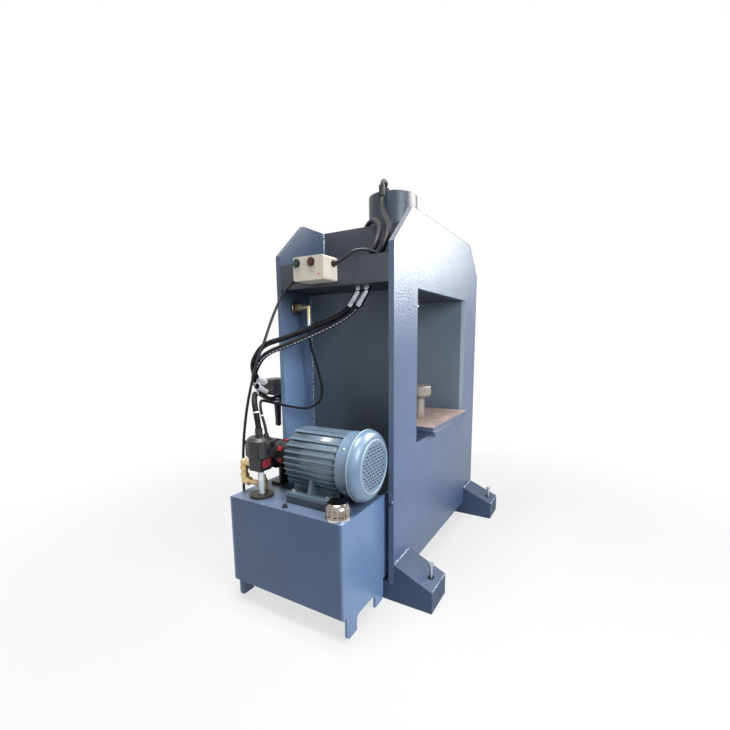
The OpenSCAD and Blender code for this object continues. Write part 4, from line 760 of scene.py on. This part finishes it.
def hang_cord(name, line, thick_mm, material, far_end, stiffness, lay, *cad, with_pieces=()):
    """A round cord along a line, as a bevelled curve, with the CAD nodes it stands for hidden."""
    curve = bpy.data.curves.new(name, "CURVE")
    curve.dimensions = "3D"
    curve.bevel_depth = thick_mm / 2000
    curve.bevel_resolution = CORD_ROUNDING
    curve.use_fill_caps = True
    spline = curve.splines.new("POLY")
    spline.points.add(len(line) - 1)
    weighted = np.hstack([line, np.ones((len(line), 1))]).astype(np.float32)
    spline.points.foreach_set("co", weighted.ravel())
    spline.use_smooth = True
    curve.materials.append(material)
    piece = bpy.data.objects.new(name, curve)
    scene.collection.objects.link(piece)
    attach(piece, "frame")
    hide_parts(*cad)
    return piece


rubber = make_finish("hose_rubber", RUBBER_LIGHT, RUBBER_DARK, rough=0.42, clouds=25, specks=900,
                     bump=0.25, specular=0.15)
sheath = make_finish("cable_sheath", RUBBER_LIGHT, RUBBER_DARK, rough=0.3, clouds=25, specks=1400,
                     bump=0.08, specular=0.35)

return_line = smooth_line(at([
    (-435, -40.6, 1067.9), (-445, -14, 1042), (-470, 24, 1020), (-505, 75, 995), (-540, 125, 972),
    (-572, 172, 952), (-600, 215, 935), (-615.4, 240.3, 912.9), (-623.9, 265.2, 872.4),
    (-615.4, 278.5, 836.9), (-594, 285, 807.5)]))
advance_line = smooth_line(at([
    (-435, -76.6, 1067.9), (-445, -44, 1038), (-470, -6, 1010), (-505, 46, 980), (-545, 104, 950),
    (-578, 155, 926), (-605, 200, 905), (-621, 229, 880), (-626, 256, 840), (-617, 277, 800),
    (-594, 285, 770.5)]))
cap_line = smooth_line(at([
    (-435, -145.4, 1212.1), (-425, -172, 1262), (-390, -172, 1312), (-334, -146, 1356),
    (-274, -106, 1400), (-216, -66, 1442), (-168, -34, 1480), (-136, -16, 1512),
    (-124.5, -10, 1539)]))
rod_line = smooth_line(at([
    (-435, -109.4, 1212.1), (-425, -134, 1260), (-390, -134, 1308), (-336, -112, 1350),
    (-284, -80, 1385), (-236, -40, 1411), (-196, 6, 1421), (-156, 52, 1406), (-120, 88, 1356),
    (-102.9, 102.9, 1290)]))
pump_line = smooth_line(at([
    (-709, 172, 644), (-711.1, 176.4, 688.4), (-702.5, 191.9, 726.9), (-681, 212.2, 750.3),
    (-648, 234.4, 757), (-606.7, 253.6, 745.8), (-569.9, 270.1, 730.4), (-540, 280.4, 717.8),
    (-505, 285, 712)]))
gauge_line = smooth_line(at([
    (-417, 164, 990), (-414, 160, 920), (-402, 138, 830), (-402, 120, 750), (-420, 124, 700),
    (-460, 154, 678), (-515, 188, 690), (-570, 212, 708), (-618, 220, 724), (-655, 207, 730),
    (-681, 186, 715), (-693, 168, 685), (-697, 154, 655), (-697, 148, 626)]))
lead_line = smooth_line(at([
    (-526, -44, 1205), (-523, -78, 1220), (-508, -108, 1242), (-480, -144, 1245),
    (-446, -180, 1226), (-414, -206, 1188), (-400, -212, 1135), (-392, -214, 1060),
    (-378, -216, 900), (-376, -215, 720), (-392, -210, 630), (-426, -194, 568),
    (-460, -166, 545), (-478, -112, 543)]))
supply_drop = smooth_line(at([
    (-525, 112, 1165), (-532, 150, 1150), (-552, 182, 1105), (-585, 200, 1030), (-622, 212, 940),
    (-650, 228, 860), (-676, 262, 690), (-690, 280, 480), (-692, 279, 130), (-688, 277, 72),
    (-676, 275, 36), (-652, 275, 19), (-630, 275, 15)]))
supply_tail = smooth_line(at([
    (-610, 275, 5), (-578, 276, 6), (-556, 283, 9), (-540, 296, 14), (-530, 314, 18)]))

# The coil's turns: radius and height change only in short steps, each at its own angle.
COIL_X, COIL_Y = -620, 332
COIL_IN, COIL_OUT = 47, 57
COIL_HIGH, COIL_LOW = 15, 5
TURN_FROM, TURN_TO, TURN_STEP = 10, 1075, 15
GO_IN, GO_DOWN, GO_OUT = (240, 300), (540, 600), (840, 900)
turn_deg = np.arange(TURN_FROM, TURN_TO, TURN_STEP)
coil_r = np.interp(turn_deg, GO_IN + GO_OUT, (COIL_OUT, COIL_IN, COIL_IN, COIL_OUT))
coil_z = np.interp(turn_deg, GO_DOWN, (COIL_HIGH, COIL_LOW))
coil_angle = np.radians(turn_deg - 90)
coil_line = at(np.column_stack([COIL_X + coil_r * np.cos(coil_angle),
                                COIL_Y + coil_r * np.sin(coil_angle), coil_z]))
supply_line = np.vstack([supply_drop, coil_line, supply_tail])

for hose, line in (("advance_hose", advance_line), ("return_hose", return_line),
                   ("cap_hose", cap_line), ("rod_hose", rod_line), ("pump_hose", pump_line)):
    hang_cord(hose + "_run", line, HOSE_MM, rubber, "object", "stiff", "hanging", hose)
hang_cord("gauge_hose_run", gauge_line, GAUGE_HOSE_MM, rubber, "object", "medium", "hanging",
          "gauge_hose")
hang_cord("motor_lead_run", lead_line, CABLE_MM, sheath, "object", "medium", "hanging",
          "motor_lead")
hang_cord("supply_cable_run", supply_line, CABLE_MM, sheath, "plug", "medium", "hanging",
          "supply_cable", "cable_coil", with_pieces=[nodes["supply_plug"]])


# Hose ends: zinc-plated steel unions, elbows and ferrules. Each ferrule is crimped onto its hose
# with three pressed rings. The elbow over the cylinder has a rubber sleeve. The two ferrules at
# the hand valve are painted pale and less metallic: painted light, so they read bright in shade.
NECK_LOW_M, NECK_FULL_M = 1.5, 1.502
NUT_SIDE_M, NECK_SIDE_M = 0.054, 0.05
VALVE_FROM_M, VALVE_FULL_M = -0.405, -0.41
FERRULE_ROUGH, SLEEVE_ROUGH, LIT_VALVE_METALLIC = 0.2, 0.7, 0.4
RING_SHARES = np.array([0.5, 0.67, 0.84])
on_neck = combine(ferrule_zinc.node_tree, "MULTIPLY",
                  axis_share(ferrule_zinc, "Object", "Z", NECK_LOW_M, NECK_FULL_M),
                  axis_share(ferrule_zinc, "Object", "X", NUT_SIDE_M, NECK_SIDE_M))
overlay(ferrule_zinc, on_neck, RUBBER_LIGHT)
# Painted light: the ferrules at the hand valve are paler and less metallic, so that they read
# bright.
valve_light_share = shade(ferrule_zinc, "Object", "X", start=VALVE_FROM_M, end=VALVE_FULL_M,
                 colour="#dfe1df")
ferrule_tree = ferrule_zinc.node_tree
ferrule_shader = ferrule_tree.nodes["Principled BSDF"]
metal_share = combine(ferrule_tree, "MULTIPLY", blend_values(ferrule_tree, on_neck, 1.0, 0.0),
                      blend_values(ferrule_tree, valve_light_share, 1.0, LIT_VALVE_METALLIC))
ferrule_tree.links.new(metal_share, ferrule_shader.inputs["Metallic"])
ferrule_tree.links.new(blend_values(ferrule_tree, on_neck, FERRULE_ROUGH, SLEEVE_ROUGH),
                       ferrule_shader.inputs["Roughness"])
dress(ferrule_zinc, "hose_fittings")
ferrule_roots = at([(-435, -75, 1117), (-435, -111, 1117), (-435, -75, 1163), (-435, -111, 1163),
                    (-555, 285, 785), (-555, 285, 748), (-102.9, 102.9, 1250), (-470, 285, 712)])
ferrule_tips = np.stack([return_line[0], advance_line[0], rod_line[0], cap_line[0],
                         return_line[-1], advance_line[-1], rod_line[-1], pump_line[-1]])
ferrule_reach = ferrule_tips - ferrule_roots
ring_places = ferrule_roots[:, None] + RING_SHARES[None, :, None] * ferrule_reach[:, None]
ring_axes = np.repeat(ferrule_reach, len(RING_SHARES), axis=0)
pressed_ring = [(12.8, -2.2), (13.7, -1.3), (13.7, 1.3), (12.8, 2.2), (12.8, -2.2)]
turned("ferrule_rings", pressed_ring, ring_places.reshape(-1, 3), ring_axes, ferrule_zinc)


# Cable ties: white nylon straps, pulled tight round the hoses at the valve and the pump, the
# thin gauge hose and the cable's coil. A moulded rubber sleeve guards the cable where it leaves
# the control box.
TIE_WHITE, TIE_SHADE = "#e9e9e6", "#cfd0cc"
TIE_GAP, TIE_THICK, TIE_HALF = 0.2, 1.3, 2.4
BAND_POINTS = 32
nylon = make_finish("tie_nylon", TIE_WHITE, TIE_SHADE, rough=0.4, clouds=60, specks=900, bump=0.05)


def strap(name, line, step, thick_mm):
    """A strap round a hose, at one step of its line: a flat ring square to the line."""
    inner = thick_mm / 2 + TIE_GAP
    outer = inner + TIE_THICK
    band = [(inner, -TIE_HALF), (outer, -TIE_HALF), (outer, TIE_HALF), (inner, TIE_HALF),
            (inner, -TIE_HALF)]
    return turned(name, band, line[step], line[step + 1] - line[step - 1], nylon,
                  smooth=False)


def coil_band(name, place, out, half_mm, corner_mm, thick_mm):
    """A strap round the coil's bundle: a band whose section is a square with round corners."""
    angle = np.arange(BAND_POINTS) * 2 * np.pi / BAND_POINTS
    push = np.column_stack([np.cos(angle), np.sin(angle)])
    core = np.sign(push.round(6)) * (half_mm - corner_mm)
    rims = np.stack([core + corner_mm * push, core + (corner_mm + thick_mm) * push])
    out, up = np.asarray(out, float), np.array([0, 0, 1.0])
    ring = (rims[..., :1] * out + rims[..., 1:] * up) / 1000
    reach = np.cross(up, out) * TIE_HALF / 1000
    rows = np.stack([ring[0] - reach, ring[1] - reach, ring[1] + reach, ring[0] + reach,
                     ring[0] - reach])
    return add_piece(name, np.asarray(place) + rows, grid_faces(5, BAND_POINTS), nylon,
                     smooth=False)


strap("pump_hose_strap", pump_line, step=5, thick_mm=HOSE_MM)
strap("advance_hose_strap", advance_line, step=37, thick_mm=HOSE_MM)
strap("return_hose_strap", return_line, step=37, thick_mm=HOSE_MM)
strap("gauge_hose_strap", gauge_line, step=44, thick_mm=GAUGE_HOSE_MM)
strap("bend_strap", pump_line, step=14, thick_mm=HOSE_MM)
coil_band("coil_strap", at((COIL_X, COIL_Y + (COIL_IN + COIL_OUT) / 2, COIL_LOW + CABLE_MM / 2)),
          (0, 1, 0), half_mm=CABLE_MM + TIE_GAP, corner_mm=4, thick_mm=0.8)
sleeve = [(5.1, 0), (8.2, 0), (8.2, 4), (7.4, 10), (5.9, 34), (5.1, 34), (5.1, 0)]
turned("supply_relief", sleeve, supply_line[0], supply_line[2] - supply_line[0], rubber)


# Hose stripe: the white line that is printed along the lower hose, broken into plain dashes. It
# is a thin coat of ink on the rubber.
STRIPE_FACE = np.array([-0.72, -0.5, -0.48])
DASH_MM, DASH_STEP_MM, DASH_WIDE_MM = 9, 14, 1.5
DASH_UNDER, DASH_OVER = -0.5, 0.2


def dashes(name, line, thick_mm, material):
    """Dashes along a cord: short flat bars on its side, each a closed box of three sections."""
    along = np.concatenate([[0], np.cumsum(np.linalg.norm(np.diff(line, axis=0), axis=1))])
    starts = np.arange(DASH_STEP_MM, along[-1] * 1000 - DASH_STEP_MM, DASH_STEP_MM) / 1000
    reach = starts[:, None] + np.array([0, 0, 0.5, 1, 1])[None] * DASH_MM / 1000
    heading = np.gradient(line, along, axis=0)
    heading /= np.linalg.norm(heading, axis=1, keepdims=True)
    spot = np.stack([np.interp(reach, along, line[:, k]) for k in range(3)], axis=-1)
    way = np.stack([np.interp(reach, along, heading[:, k]) for k in range(3)], axis=-1)
    face = STRIPE_FACE - (way @ STRIPE_FACE)[..., None] * way
    face /= np.linalg.norm(face, axis=-1, keepdims=True)
    side = np.cross(way, face)
    section = np.array([(-1, DASH_UNDER), (1, DASH_UNDER), (1, DASH_OVER), (-1, DASH_OVER)])
    wide = np.array([0, 1, 1, 1, 0])[None, :, None, None]
    spread = wide * section[None, None, :, :1] * DASH_WIDE_MM / 1000
    lift = (thick_mm / 2 + wide * section[None, None, :, 1:]) / 1000
    points = spot[:, :, None] + spread * side[:, :, None] + lift * face[:, :, None]
    faces = copied_faces(5, 4, len(starts))
    return add_piece(name, points, faces, material, smooth=False)


stripe_white = make_finish("stripe_white", "#c4c7d0", "#9a9daa", rough=0.5, clouds=90, specks=700,
                           bump=0.02)
dashes("hose_stripe", advance_line, HOSE_MM, stripe_white)
